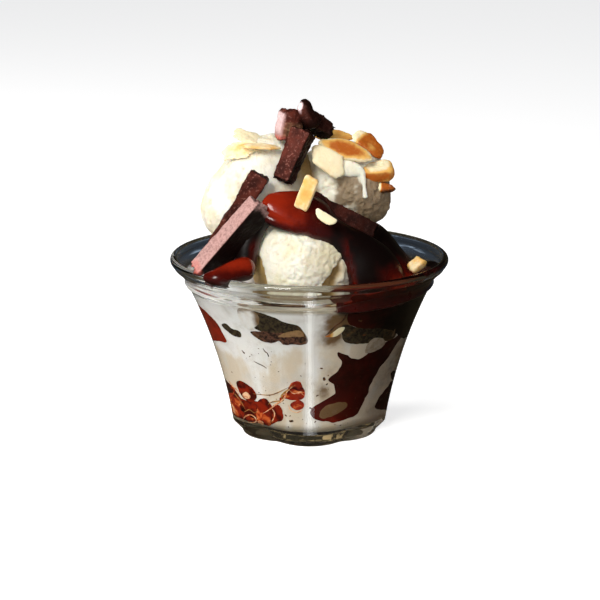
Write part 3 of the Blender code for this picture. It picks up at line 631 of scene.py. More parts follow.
def paintCream(azimuth, height, shake):
    # beige below the melt line, less so in the pale upright bands of painted reflection; brown patches are sums of bell
    # curves, those on the right side painted shade
    line = np.interp(azimuth, *np.array(meltLine).T)
    beige = rampUp(-3.5, 3.5, line - height + 3.0 * shake)
    reflectionBands = sum(strength * np.exp(-((azimuth - at) / wide) ** 2) for at, wide, strength in paleReflectionBands)
    beige = beige * np.clip(1.0 - reflectionBands, 0.0, 1.0)
    brown = 0.0 * azimuth
    for at, level, wide, tall, strength in brownPatches:
        brown = brown + strength * np.exp(-((azimuth - at) / wide) ** 2 - ((height - level) / tall) ** 2)
    return {"beige": beige, "brown": np.clip(brown * (1.0 + 0.5 * shake), 0.0, 1.0)}


def makeFill():
    # up the wall from the floor, then inwards over the mounds, roughened by layered noise
    azimuth = np.arange(fill["around"]) * fullTurn / fill["around"] - np.pi
    rim = onDish(azimuth, innerRadius(np.array(fill["level"])), 0.0)
    edge = mound(rim[:, 0], rim[:, 1]) + fill["edgeWobble"] * layeredNoise(rim, 9.0, 3, 21)
    floor = dish["base"] - fill["reach"]
    rise = np.linspace(0.0, 1.0, fill["wallSteps"])[:, None] ** 1.2
    z = floor + (edge[None, :] - floor) * rise
    inwards = np.array([0.25, 0.5, 0.75, 0.93])[:, None]
    bottom = onDish(azimuth[None, :], inwards * (innerRadius(np.array(dish["base"])) + fill["reach"]), floor)
    wall = onDish(azimuth[None, :], innerRadius(z) + fill["reach"], z)
    share = (1.0 - np.linspace(0.0, 1.0, fill["topSteps"] + 1)[1:-1, None])
    radius = (innerRadius(edge)[None, :] + fill["reach"]) * share
    top = onDish(azimuth[None, :], radius, 0.0)
    hill = mound(top[..., 0], top[..., 1])
    hill = hill + (edge - mound(wall[-1, :, 0], wall[-1, :, 1]))[None, :] * share ** 6
    soft = rampUp(0.0, 0.06, 1.0 - share)
    rough = soft * (1.0 + 0.9 * rampUp(0.0, 18.0, top[..., 1]))
    top[..., 2] = hill + rough * (fill["relief"] * layeredNoise(top, 8.0, 5, 3) - 0.8 * creases(top, 5.0, 3, 9) + 0.5)
    rings = np.concatenate([bottom, wall, top])
    marks = paintCream(np.broadcast_to(np.degrees(azimuth), rings.shape[:2]), rings[..., 2], layeredNoise(rings, 9.0, 4, 4))
    # painted shade: grey-beige near the fill's level under the lip, fading in from -42 to -26 degrees and out from 100
    # to 130 degrees
    marks["top"] = rampUp(fill["level"] - 2.5, fill["level"] + 0.5, rings[..., 2]) * rampUp(-42.0, -26.0, np.degrees(azimuth)) * rampUp(130.0, 100.0, np.degrees(azimuth))
    ringPiece("iceCreamInDish", rings, creamAtWall, "vanilla_ice_cream", ["ice_cream_fill"], marks=marks)


makeFill()
print("filling made")


# Fields of sauce, brownie, chocolate and cream pressed against the wall.

def wallField(name, outline, material, slot, nodes, lift, depth, wobble, marks, seed, wave=3.0, count=220):
    # the outline's closed curve in degrees and mm, shrunk ring by ring to its middle on the wall's surface,
    # and its side carried inwards; the edge is shaken by layered noise
    points = np.asarray(outline, dtype=float)
    around = np.radians(1.0) * innerRadius(points[:, 1].mean())
    flat = np.stack([points[:, 0] * around, points[:, 1]], -1)
    loop = smoothLoop(flat, count)
    spot = np.concatenate([loop, np.full((count, 1), 7.0 * seed)], -1)
    shake = np.stack([layeredNoise(spot, wave, 4, seed), layeredNoise(spot, wave, 4, seed + 50)], -1)
    loop = loop + wobble * shake
    middle = loop.mean(axis=0)
    steps = int(np.abs(loop - middle).max() / 1.5) + 4
    face = np.sin(np.linspace(0.08, 0.5 * np.pi, steps))
    side = np.array([(1.0, 0.3), (0.98, 0.4 * depth), (0.9, 0.8 * depth), (0.6, depth)])
    scale = np.concatenate([face, side[:, 0]])
    inwards = np.concatenate([np.full(len(face), -lift), side[:, 1]])
    place = middle + (loop - middle)[None, :, :] * scale[:, None, None]
    azimuth = np.radians(1.0) * place[..., 0] / around
    rings = onDish(azimuth, innerRadius(place[..., 1]) - inwards[:, None], place[..., 1])
    marks = {key: value(np.degrees(azimuth), place[..., 1]) if callable(value) else value for key, value in marks.items()}
    return ringPiece(name, rings, material, slot, nodes, marks=marks)


def curtainLit(azimuth, height):
    # painted light: redder at the left and under the lip, and painted shade, nearly black, towards the right and lower
    # down
    return 0.50 * rampUp(56.0, 18.0, azimuth) + 0.20 * rampUp(60.0, 70.0, height) * rampUp(95.0, 60.0, azimuth)


def ribbonLit(azimuth, height):
    return 0.30 + 0.35 * rampUp(34.0, 12.0, height) * rampUp(46.0, 20.0, azimuth)


def mottled(level, swing=0.5):
    # a level of light broken up by layered noise of two millimetres
    def value(azimuth, height):
        spots = np.stack([azimuth * 0.55, height, 0.0 * height], -1)
        return level + swing * layeredNoise(spots, 2.4, 3, 91)
    return value


def almondAge(azimuth, height):
    # pale at the right end, browner at the left one
    return 1.0 * rampUp(13.5, 10.0, azimuth) - 0.1


def lumpBrown(azimuth, height):
    # shaded brown towards its right side, above the brownie, and along its top
    return np.maximum(0.9 * rampUp(-32.0, -26.5, azimuth), 0.7 * rampUp(62.0, 65.5, height - 0.3 * (azimuth + 32.0)))


wallFields = {
    "sauceCurtain": ([(18, 73.5), (17.6, 71.6), (18.8, 70.2), (15.2, 68.6), (18.8, 66.9), (18.6, 62.3), (21, 58.2), (31, 55.5),
                      (38, 55.0), (46, 53.4), (52, 51.5), (57, 49.5), (64, 46.5), (76, 44.5), (92, 47), (104, 56), (110, 64), (108, 70),
                      (92, 73.5), (64, 74.5), (40, 74), (22, 73.5)],
                     sauceAtWall, "chocolate_sauce", (), 0.17, 3.0, 0.35),
    "brownieTop": ([(-30, 60), (-28, 64.8), (-20, 63), (-12, 60), (-6, 58.6), (-3, 55.5), (-2, 52), (-14, 53.5), (-24, 54), (-30, 56)],
                   brownieSkin, "brownie", (), 0.19, 4.0, 0.25),
    "brownieCut": ([(-33, 53.6), (-27, 54.6), (-16, 54.9), (-8, 54.6), (-3, 54.3), (-1, 50.4), (-8, 49.6), (-14, 49.4), (-17, 51), (-22, 49.6), (-28, 50.2)],
                   brownieCrumb, "brownie", ["brownie_at_wall"], 0.21, 4.0, 0.3),
    "brownieEdge": ([(-17, 53.2), (-13, 55.0), (-8, 56.4), (-4.2, 55.8), (-2.8, 53.6), (-6, 53.4), (-12, 53.2)],
                    brownieTan, "brownie", (), 0.215, 3.0, 0.3),
    "chocolateFragment": ([(-54, 54), (-50, 55.4), (-46, 53.6), (-41, 53.0), (-41, 50.4), (-46, 49.8), (-50, 51.0)],
                          brownieSkin, "dark_chocolate", ["chocolate_at_wall_left"], 0.2, 3.0, 0.2),
    "sauceWedgeLeft": ([(-99, 49), (-92, 55.5), (-82, 58.4), (-73, 59.0), (-65, 57.6), (-58.6, 54.6), (-56.2, 50.2), (-55, 46), (-63, 45),
                        (-74, 43.4), (-84, 40.2), (-94, 41)],
                       sauceAtWall, "chocolate_sauce", ["sauce_streak_left"], 0.18, 3.0, 0.3),
    "chocolateChunkRight": ([(17, 58.6), (26, 56.6), (38, 58), (46, 58), (56, 50), (52, 47), (46, 47.4), (36, 47.8), (24, 49), (18, 52)],
                            brownieSkin, "dark_chocolate", ["chocolate_at_wall_right"], 0.15, 4.0, 0.3),
    "almondBit": ([(8, 53.4), (11, 54.6), (15, 57.2), (18, 57.4), (17, 55), (13, 53.1)],
                  almond, "almond", ["almond_at_wall"], 0.2, 2.0, 0.15),
    "sauceRibbonRight": ([(16, 45.2), (20, 44.6), (26, 41.6), (32, 41), (39, 43.8), (46, 46.5), (57, 48), (64, 51), (63, 46), (57, 39.5),
                          (51, 34), (47, 28), (45, 22), (41, 15), (34, 12.4), (18, 11.8), (6, 13.4), (0, 17), (5, 20.8), (16, 22.8),
                          (16, 29), (12, 33), (17, 36), (20, 40)],
                         sauceAtWall, "chocolate_sauce", ["sauce_ripple"], 0.17, 3.0, 0.35),
    "sauceStreakRight": ([(72, 25), (86, 20), (93, 13), (85, 10.6), (70, 12), (57, 14.8), (59, 19.6), (66, 23)],
                         sauceAtWall, "chocolate_sauce", ["sauce_streak_right"], 0.17, 3.0, 0.4),
    "creamOvalInRibbon": ([(7, 15.2), (10, 19.4), (18, 21), (26, 20.4), (28, 18), (20, 15.6), (12, 14.2)],
                          creamAtWall, "vanilla_ice_cream", (), 0.22, 1.5, 0.25),
    "creamLumpRight": ([(35, 43.4), (35, 47.6), (39, 50), (46, 48.6), (48, 45.4), (41, 43.2)],
                       creamAtWall, "vanilla_ice_cream", (), 0.22, 1.5, 0.2),
    "creamPatchRight": ([(53.2, 52.4), (54.2, 50.4), (53.6, 48.8), (52, 49.2), (52.2, 50.8)],
                        creamAtWall, "vanilla_ice_cream", (), 0.22, 1.0, 0.1),
    "creamLumpLeft": ([(-38, 62), (-36, 65.4), (-31, 66), (-27, 64), (-26, 60.5), (-28, 57), (-33, 54.8), (-38, 57)],
                      creamAtWall, "vanilla_ice_cream", (), 0.24, 1.5, 0.3),
    "sauceStreakLeft": ([(-96, 28), (-88, 29.4), (-81, 28.6), (-84, 24.6), (-93, 21), (-99, 23)],
                        sauceAtWall, "chocolate_sauce", (), 0.17, 2.0, 0.2),
    "sauceDropRight": ([(66, 29.8), (70, 30.2), (75, 27.6), (77, 24.6), (72, 25.4), (68, 27.4)],
                       sauceAtWall, "chocolate_sauce", (), 0.17, 2.0, 0.15),
    "swirlOuter": ([(-92, 26), (-77, 25), (-64, 24), (-60, 20.5), (-52, 18.4), (-44, 17.6), (-40, 14), (-45, 9), (-57, 8.4), (-74, 9), (-92, 12)],
                   swirl, "chocolate_sauce", (), 0.17, 2.5, 0.4),
    "swirlPatch": ([(-90, 21), (-75, 25.2), (-66, 23.4), (-65, 20.8), (-76, 18.6), (-90, 17.9)],
                   sauceAtWall, "chocolate_sauce", (), 0.185, 2.0, 0.2),
    "swirlBody": ([(-57, 17.7), (-50, 19.2), (-42, 19.6), (-40, 17.0), (-41, 12.6), (-47, 10.7), (-57, 12.1), (-61, 14.3)],
                  sauceAtWall, "chocolate_sauce", (), 0.185, 2.0, 0.3),
    "swirlLoop": ([(-58, 26.8), (-52, 27.9), (-44, 26.1), (-41, 23.2), (-42, 20.6), (-47, 18.6), (-51, 18.8), (-55, 20.0), (-58, 23.0)],
                  sauceAtWall, "chocolate_sauce", (), 0.19, 2.5, 0.25),
    "creamInLoop": ([(-54, 21.8), (-50, 22.9), (-47, 21.6), (-48.5, 20.1), (-52.5, 19.7), (-54.6, 20.5)],
                    peachThread, "vanilla_ice_cream", (), 0.205, 1.5, 0.15),
    "swirlLobe": ([(-42, 18.7), (-38, 20.8), (-33, 21.3), (-29, 19.5), (-28, 17.6), (-33, 15.4), (-38, 14.9), (-42, 15.8)],
                  sauceAtWall, "chocolate_sauce", (), 0.20, 2.0, 0.25),
    "swirlOrange": ([(-42, 16.6), (-35, 16.2), (-29, 16.6), (-28, 12), (-32, 9), (-38, 8.2), (-44, 10.4)],
                    swirl, "chocolate_sauce", (), 0.19, 2.0, 0.25),
    "swirlRed": ([(-29, 17.7), (-23, 19.7), (-20, 18.3), (-19, 15.4), (-20, 12.4), (-25, 11.0), (-31, 9.6), (-30, 14)],
                 sauceAtWall, "chocolate_sauce", (), 0.195, 2.0, 0.3),
    "swirlRight": ([(-13, 29.6), (-10, 31.5), (-6, 31.8), (-4, 29.1), (-3, 26.2), (-5, 23.2), (-12, 22.6), (-17, 23.0), (-20, 21.6), (-21, 22.6), (-16, 25.6)],
                   swirl, "chocolate_sauce", (), 0.19, 2.0, 0.25),
    "swirlRightTop": ([(-12, 29.4), (-9.5, 31.2), (-6.2, 31.4), (-4.4, 29.4), (-3.6, 27), (-7, 27.4), (-9.5, 28)],
                      sauceAtWall, "chocolate_sauce", (), 0.205, 1.5, 0.2),
    "swirlBall": ([(-13, 19.9), (-11, 21.9), (-7, 22.9), (-4, 21.6), (-4.4, 19.2), (-9, 18.0)],
                  swirl, "chocolate_sauce", (), 0.205, 1.5, 0.15),
    "creamBall": ([(-45, 9.4), (-42, 10.3), (-39.4, 9.8), (-40, 8.6), (-43, 8.2)],
                  peachThread, "vanilla_ice_cream", (), 0.215, 1.5, 0.1),
}

fieldMarks = {
    "sauceCurtain": {"lit": curtainLit}, "sauceRibbonRight": {"lit": ribbonLit},
    "creamOvalInRibbon": {"beige": 1.0, "brown": 1.0}, "sauceWedgeLeft": {"lit": mottled(0.88, 0.2)}, "sauceStreakRight": {"lit": 0.25},
    "creamLumpRight": {"beige": 1.0, "brown": 0.5},
    "creamLumpLeft": {"beige": 0.35, "brown": lumpBrown}, "almondBit": {"toast": almondAge},
    "creamPatchRight": {"beige": 0.8, "brown": 0.9},
    "sauceStreakLeft": {"lit": mottled(0.5)}, "sauceDropRight": {"lit": 0.2},
    "swirlPatch": {"lit": mottled(0.4)}, "swirlBody": {"lit": mottled(0.55)}, "swirlLoop": {"lit": mottled(0.8)},
    "swirlLobe": {"lit": mottled(0.9)}, "swirlRed": {"lit": mottled(0.65)}, "swirlRightTop": {"lit": mottled(0.8)},
}
for seed, (name, values) in enumerate(wallFields.items()):
    wallField(name, *values, marks=fieldMarks.get(name, {}), seed=seed + 3)
print("fields at the wall made")

# Threads on the wall: path in degrees and mm, half width, lift and material.
strands = {
    "threadPeachLeft": ([(-68, 26), (-65, 24.5), (-60, 22.7), (-58.5, 20.6)], 0.55, 0.24, peachThread),
    "threadInBody": ([(-57, 12.6), (-51, 14.6), (-46, 13.6), (-42, 15.4)], 0.28, 0.235, ochreThread),
    "threadDarkLeft": ([(-66, 21.2), (-62, 19.6), (-58, 17.2), (-55, 14.2)], 0.40, 0.23, ochreThread),
    "threadPeachRight": ([(-11, 29.4), (-15, 26.5), (-17, 23.7), (-21, 21.2), (-27, 18.4), (-33, 15.8), (-38, 14)], 0.50, 0.245, peachThread),
    "threadOchreRight": ([(-9, 30), (-14, 27.6), (-19, 24.4), (-18.4, 22.2), (-24, 21.2), (-29, 20.0), (-32, 18.6)], 0.42, 0.235, ochreThread),
    "threadFine": ([(-44, 22.9), (-37, 23.1), (-31, 23.4), (-26, 24.2), (-20, 26.2), (-12, 29.4), (-9, 30.2)], 0.20, 0.22, ochreThread),
    "threadRing": ([(-62, 8.4), (-56, 11.0), (-50, 12.3), (-46, 11.2), (-47, 9.4), (-52, 8.4), (-58, 8.0)], 0.45, 0.235, peachThread),
    "threadInRed": ([(-28.5, 17.4), (-26.4, 15.6), (-27.2, 13.2), (-30, 10.8)], 0.40, 0.235, peachThread),
    "threadUnderBall": ([(-14.4, 20.4), (-13.4, 18.0), (-9.0, 16.9), (-4.6, 18.2)], 0.28, 0.235, peachThread),
    "threadInRight": ([(-13.5, 27.6), (-10.4, 26.0), (-6, 26.6), (-3.6, 25.2)], 0.30, 0.235, peachThread),
    "markUpper": ([(-27.6, 46.4), (-26.6, 45.0), (-25.2, 44.2), (-24.6, 42.4)], 0.34, 0.22, darkThread),
    "markMiddle": ([(-37.0, 39.2), (-33.5, 38.3), (-30.5, 37.7), (-27.4, 36.6)], 0.34, 0.22, darkThread),
    "markLeft": ([(-44.0, 43.6), (-43.0, 42.8), (-42.6, 41.9)], 0.30, 0.22, darkThread),
    "threadAboveRight": ([(8.1, 53.7), (10.1, 55.5), (12.9, 58.3), (16.5, 61.0), (18.2, 64.8)], 0.42, 0.20, darkThread),
}


def wallStrand(name, path, halfWidth, lift, material, seed):
    # an ellipse carried along a Catmull-Rom path on the wall, half width w (sin(pi s))^0.6 (1 + 0.4 noise)
    flat = smoothPath(path, 10) * np.array([np.radians(1.0) * innerRadius(25.0), 1.0])
    flat = evenly(flat, 70)
    azimuth = flat[:, 0] / innerRadius(25.0)
    share = np.linspace(0.004, 0.996, len(flat))
    wide = halfWidth * np.sin(np.pi * share) ** 0.6 * (1.0 + 0.4 * layeredNoise(onDish(azimuth, 9.0, flat[:, 1]), 1.6, 3, seed))
    tall = 0.5 * np.maximum(wide, 0.02)
    spine = onDish(azimuth, innerRadius(flat[:, 1]) + lift - tall, flat[:, 1])
    rings = ropeRings(spine, onDish(azimuth, 1.0, 0.0), wide, tall, 12)
    ringPiece(name, rings, material, "chocolate_sauce")


for seed, (name, values) in enumerate(strands.items()):
    wallStrand(name, *values, seed)

# Crumbs and drops on the wall: those with a place of their own (degrees, mm, half size), and a random scatter.
specks = {
    "placed": [(-17, 15.0, 0.40), (-13, 12.6, 0.75), (1, 19.1, 0.60), (9, 33.1, 0.75), (5, 25.1, 0.45), (-42.8, 42.6, 0.5),
               (-37, 23.2, 0.35), (-29, 23.5, 0.40), (-22, 25.4, 0.25), (7, 38.2, 0.5), (11, 30.4, 0.45), (4, 12.6, 0.4),
               (62, 18, 0.8), (68, 20, 0.6), (24, 9.6, 0.35), (-60, 31, 0.3), (26, 60, 0.9), (31, 52.5, 0.8), (55, 43, 0.7)],
    "count": 60, "from": (-44.0, 9.0), "to": (40.0, 46.0), "size": (0.12, 0.32), "seed": 11,
    "lift": 0.225, "around": 9,
}


def makeSpecks():
    # flat domes, closed below: rings at shares 0.6, 1, 0.7, 0.3 of a wobbling outline, pressed onto the wall
    dice = np.random.default_rng(specks["seed"])
    placed = np.array(specks["placed"])
    loose = dice.uniform(specks["from"], specks["to"], (specks["count"], 2))
    sizes = dice.uniform(*specks["size"], (specks["count"], 1))
    spots = np.concatenate([placed, np.concatenate([loose, sizes], axis=1)])
    count, around = len(spots), specks["around"]
    turn = np.arange(around) * fullTurn / around + dice.uniform(0.0, fullTurn, (count, 1))
    reach = spots[:, 2:] * (1.0 + 0.35 * np.cos(2.0 * turn + spots[:, :1]) + dice.uniform(-0.15, 0.15, (count, around)))
    shares = np.array([0.6, 1.0, 0.7, 0.3])[None, :, None]
    inwards = np.array([0.35, 0.10, 0.02, 0.0])[None, :, None]
    height = spots[:, 1, None, None] + shares * (reach * np.sin(turn))[:, None, :]
    radius = innerRadius(height)
    azimuth = np.radians(spots[:, 0, None, None]) + shares * (reach * np.cos(turn))[:, None, :] / radius
    points = onDish(azimuth, radius + specks["lift"] - inwards, height)
    poles = points[:, [0, -1]].mean(axis=2)
    points = np.concatenate([points.reshape(count, -1, 3), poles], axis=1)
    step = np.arange(around)
    after = (step + 1) % around
    layer = np.arange(3)[:, None] * around
    quads = np.stack([layer + step, layer + after, layer + around + after, layer + around + step], -1).reshape(-1, 4)
    low = np.stack([np.full(around, 4 * around), after, step], -1)
    high = np.stack([np.full(around, 4 * around + 1), 3 * around + step, 3 * around + after], -1)
    start = np.arange(count)[:, None, None] * (4 * around + 2)
    faces = (start + quads).reshape(-1, 4).tolist() + (start + np.concatenate([low, high])).reshape(-1, 3).tolist()
    meshPiece("crumbsAtWall", points.reshape(-1, 3), faces, darkThread, "dark_chocolate")


makeSpecks()
print("threads and crumbs at the wall made")


# Scoops.

# A groove lies where d . toward is past its edge and d . otherWay is still short of the other one.
# For each scoop, hollows and greys are painted shade, each a way, an edge on d . way and a strength; foot is painted
# shade between two heights, under the dish's lip.
scoops = {
    "scoopFront": {
        "node": "scoop_front", "material": frontCream, "seed": 2,
        "centre": (-3.0, -21.0, 78.0), "radii": (22.0, 20.5, 22.0), "pole": (0.1, 0.3, 1.0),
        "bulges": [((0.8, -0.4, -0.5), 0.05, 0.25), ((-0.9, -0.3, -0.4), 0.05, 0.25), ((0.85, -0.35, 0.35), 0.05, 0.12)],
        "grooves": [((0.83, -0.12, -0.54), 0.536, (0.96, 0.22, -0.17), 0.536, 2.2),
                    ((-0.93, -0.30, -0.20), 0.86, (0.0, 0.0, 1.0), 1.1, 1.6)],
        "foot": (75.0, 69.0, 0.9), "lumps": 0.35, "drag": 0.12, "wrinkle": 0.44, "wrinkleSide": (0.5, -0.8, 0.3),
        "wrinkleSize": 1.6,
        "hollowShades": [((-0.95, -0.30, -0.10), 0.90, 0.55)], "greyShades": [((0.80, -0.62, 0.15), 0.62, 0.30)],
    },
    "scoopLeft": {
        "node": "scoop_left", "material": leftCream, "seed": 5,
        "centre": (-21.5, 4.0, 103.5), "radii": (23.8, 23.0, 25.0), "pole": (-0.2, 0.0, 1.0),
        "bulges": [((-0.8, 0.0, 0.65), -0.17, 0.20), ((-0.95, -0.15, -0.5), 0.14, 0.13), ((0.7, -0.3, 0.7), 0.12, 0.25)],
        "grooves": [],
        "lumps": 0.6, "drag": 0.22, "wrinkle": 0.26, "wrinkleSide": (-0.8, -0.5, -0.3), "wrinkleSize": 3.2,
        "hollowShades": [((0.80, -0.32, 0.52), 0.92, 1.0)], "greyShades": [((0.80, -0.30, 0.54), 0.93, 0.45)],
    },
    "scoopRight": {
        "node": "scoop_right", "material": rightCream, "seed": 9,
        "centre": (15.6, 7.0, 106.6), "radii": (19.0, 19.5, 18.5), "pole": (0.2, 0.0, 1.0),
        "bulges": [((0.88, -0.35, -0.62), 0.15, 0.10), ((0.2, -0.95, 0.2), -0.03, 0.10), ((-0.7, -0.2, 0.7), 0.14, 0.25)],
        "grooves": [],
        "lumps": 0.45, "drag": 0.16, "wrinkle": 0.42, "wrinkleSide": (0.0, -1.0, 0.05), "wrinkleSize": 1.9,
        "greyShades": [((0.05, -1.0, 0.08), 0.970, 0.90), ((0.80, -0.55, -0.30), 0.58, 0.95)],
        "hollowShades": [((-0.95, -0.35, 0.0), 0.84, 0.85)],
    },
}
scoopGrid = {"rings": 150, "around": 280}


def scoopDirections(pole):
    # unit directions by angle from the pole and angle round it
    pole = unit(pole)
    side = unit(np.cross(pole, (0.0, 1.0, 0.0)))
    front = np.cross(side, pole)
    down = np.linspace(np.pi, 0.0, scoopGrid["rings"] + 2)[1:-1, None, None]
    turn = (np.arange(scoopGrid["around"]) * fullTurn / scoopGrid["around"])[None, :, None]
    return np.cos(down) * pole + np.sin(down) * (np.cos(turn) * side + np.sin(turn) * front)


def makeScoop(name, scoop):
    # ellipsoid radius times 1 + sum of amount exp((d . toward - 1) / width), cut back past each flap's edge,
    # plus lumps, dragged streaks, and sharp wrinkles on one side
    d = scoopDirections(scoop["pole"])
    radii = np.array(scoop["radii"])
    radius = 1.0 / np.linalg.norm(d / radii, axis=-1)
    swell = np.ones(d.shape[:-1])
    for toward, amount, width in scoop["bulges"]:
        swell += amount * np.exp((d @ unit(toward) - 1.0) / width)
    radius = radius * swell
    points = np.array(scoop["centre"]) + d * radius[..., None]
    hollowShade = np.zeros(radius.shape)
    shake = 0.03 * layeredNoise(points, 5.0, 4, scoop["seed"] + 40)
    for toward, edge, otherWay, otherEdge, depth in scoop["grooves"]:
        past = rampUp(edge, edge + 0.03, d @ unit(toward) + shake)
        past = past * rampUp(otherEdge + 0.03, otherEdge - 0.05, d @ unit(otherWay) + shake)
        radius = radius - depth * past
        hollowShade = np.maximum(hollowShade, past)
    seed = scoop["seed"]
    lumps = layeredNoise(points, 10.0, 4, seed)
    drag = layeredNoise(points * np.array([1.0, 1.0, 0.35]), 2.2, 3, seed + 3)
    patch = rampUp(-0.15, 0.75, d @ unit(scoop["wrinkleSide"]) + 0.35 * layeredNoise(points, 9.0, 2, seed + 5))
    wrinkle = layeredNoise(points, scoop["wrinkleSize"], 3, seed + 8, 0.6)
    wrinkle = wrinkle + 0.5 * (0.6 - creases(points * np.array([1.0, 1.0, 0.7]), 2.0 * scoop["wrinkleSize"], 3, seed + 9))
    relief = scoop["lumps"] * lumps + scoop["drag"] * drag + scoop["wrinkle"] * patch * wrinkle
    radius = radius + relief
    # painted shade: ochre in the wrinkles' creases, added to that in the grooves, and towards each hollow's way
    dip = rampUp(0.3, 1.3, -wrinkle) * patch * 0.35
    hollowShade = np.clip(np.maximum(0.95 * hollowShade, dip), 0.0, 1.0)
    for toward, edge, strength in scoop.get("hollowShades", []):
        hollowShade = np.maximum(hollowShade, strength * rampUp(edge - 0.06, edge + 0.06, d @ unit(toward) + shake))
    # painted shade: grey-brown on the sides turned from the light
    greyShade = np.zeros(radius.shape)
    for toward, edge, strength in scoop.get("greyShades", []):
        greyShade = np.maximum(greyShade, strength * rampUp(edge - 0.06, edge + 0.6 * (1.0 - edge), d @ unit(toward) + 2.0 * shake))
    rings = np.array(scoop["centre"]) + d * radius[..., None]
    # painted shade: greyer cream low on the front scoop, in the shade of the dish's lip
    high, low, strength = scoop.get("foot", (0.0, -1.0, 0.0))
    greyShade = np.maximum(greyShade, strength * rampUp(high, low, rings[..., 2]))
    ringPiece(name, rings, scoop["material"], "vanilla_ice_cream", [scoop["node"]], marks={"hollowShade": hollowShade, "greyShade": greyShade})


for name, scoop in scoops.items():
    makeScoop(name, scoop)

# A ridge of softer cream on the right scoop that ends in a drip: x, y, z, half width, half height.
creamDrip = [(9.5, -10.8, 118.4, 1.8, 1.2), (14.0, -11.3, 117.6, 3.4, 1.6), (18.6, -10.4, 116.6, 3.2, 1.6),
             (21.8, -9.8, 114.6, 1.9, 1.3), (22.8, -10.3, 111.0, 1.0, 1.0), (23.3, -10.9, 107.0, 0.9, 0.95),
             (23.6, -11.2, 104.2, 1.2, 1.15)]


def ropePoints(stations, steps, around, up=(0.0, -0.25, 1.0)):
    # ellipses along a Catmull-Rom curve, rounded off at both ends by a quarter circle
    path = evenly(smoothPath(stations, 12), steps)
    spine = path[:, :3]
    run = np.concatenate([[0.0], np.cumsum(np.linalg.norm(np.diff(spine, axis=0), axis=1))])
    ends = []
    for size, gone in ((path[0, 4], run), (path[-1, 4], run[-1] - run)):
        t = np.clip(gone / size, 0.0, 1.0)
        ends.append(np.sqrt(1.0 - (1.0 - t) ** 2 * 0.999))
    taper = ends[0] * ends[1]
    return ropeRings(spine, np.broadcast_to(up, spine.shape), path[:, 3] * taper, path[:, 4] * taper, around)


rings = ropePoints(creamDrip, 110, 40, (0.0, -1.0, 0.3))
rings = rings + gridNormals(rings) * (0.18 * layeredNoise(rings, 2.5, 4, 77))[..., None]
ringPiece("creamDrip", rings, rightCream, "vanilla_ice_cream")
print("scoops made")


# Sauce.

# Stations of the band, its thick lower edge and its arm: x, y, z, half width and half height in mm.
band = [(-20.2, -29.5, 105.8, 3.2, 3.0), (-16.4, -30.0, 105.0, 6.2, 4.4), (-10.2, -30.0, 103.4, 8.8, 5.2),
        (-4.0, -30.0, 101.9, 10.2, 5.4), (1.0, -30.6, 100.2, 9.2, 5.4), (4.6, -30.8, 97.4, 7.8, 5.4),
        (8.8, -30.0, 93.9, 6.5, 5.8), (13.8, -29.0, 89.8, 7.4, 6.6), (19.2, -28.0, 85.2, 9.2, 7.4),
        (25.0, -28.0, 78.8, 11.5, 8.0), (28.5, -28.0, 72.0, 11.5, 7.6), (27.0, -25.0, 63.0, 9.5, 6.5)]
bandEdge = [(-20.0, -32.0, 102.6, 1.4, 1.6), (-17.0, -33.8, 100.2, 2.0, 2.2), (-13.0, -34.8, 98.4, 2.3, 2.4),
            (-8.5, -35.0, 96.9, 2.2, 2.2), (-3.5, -34.8, 95.6, 2.0, 1.9), (1.5, -34.0, 94.2, 1.6, 1.4)]
bandArm = [(-16.0, -27.0, 102.0, 4.0, 4.0), (-21.5, -28.5, 97.5, 4.6, 4.4), (-25.0, -30.5, 90.5, 4.8, 4.6),
           (-26.4, -32.0, 83.0, 4.8, 4.6), (-26.4, -33.5, 75.0, 4.4, 4.4)]
dollop = [(-22.7, -37.5, 81.2, 4.6, 4.9), (-25.8, -39.0, 80.7, 5.2, 5.0), (-30.2, -41.5, 79.8, 5.3, 4.6),
          (-34.3, -44.0, 78.8, 5.0, 4.0), (-37.9, -45.8, 78.3, 4.4, 3.4), (-41.2, -45.5, 78.4, 3.0, 2.4), (-43.0, -44.5, 79.0, 1.4, 1.2)]
pour = {
    "from": 12.0, "to": 112.0, "thickness": 3.6, "inner": 21.0, "sunk": 2.5, "climb": 5.5,
    "steps": 110, "across": 70,
}


def pourPoints():
    # at each azimuth a closed section: over the mound to the wall with a lip that climbs it, and back underneath
    azimuth = np.radians(np.linspace(pour["from"], pour["to"], pour["steps"]))[:, None]
    swell = np.sin(np.pi * (np.degrees(azimuth) - pour["from"]) / (pour["to"] - pour["from"]))
    rise = np.clip(swell, 0.0, 1.0) ** 0.4
    across = np.linspace(0.0, 1.0, pour["across"])[None, :]
    edge = innerRadius(np.array(fill["level"] + pour["climb"])) - 0.1
    radius = pour["inner"] + (edge - pour["inner"]) * across
    flat = onDish(azimuth, radius, 0.0)
    bed = mound(flat[..., 0], flat[..., 1])
    climb = pour["climb"] * np.exp(-(edge - radius) / 3.0) * rise
    flow = 0.5 * layeredNoise(flat * 1.0, 9.0, 3, 31) * rise
    over = bed + (pour["thickness"] + flow) * rise * np.sqrt(np.clip(1.05 - across ** 6, 0.0, 1.0)) + climb
    under = bed - pour["sunk"] * rise
    top = onDish(azimuth, radius, over)
    low = onDish(azimuth, radius, under)[:, ::-1]
    return np.concatenate([top, low], axis=1)


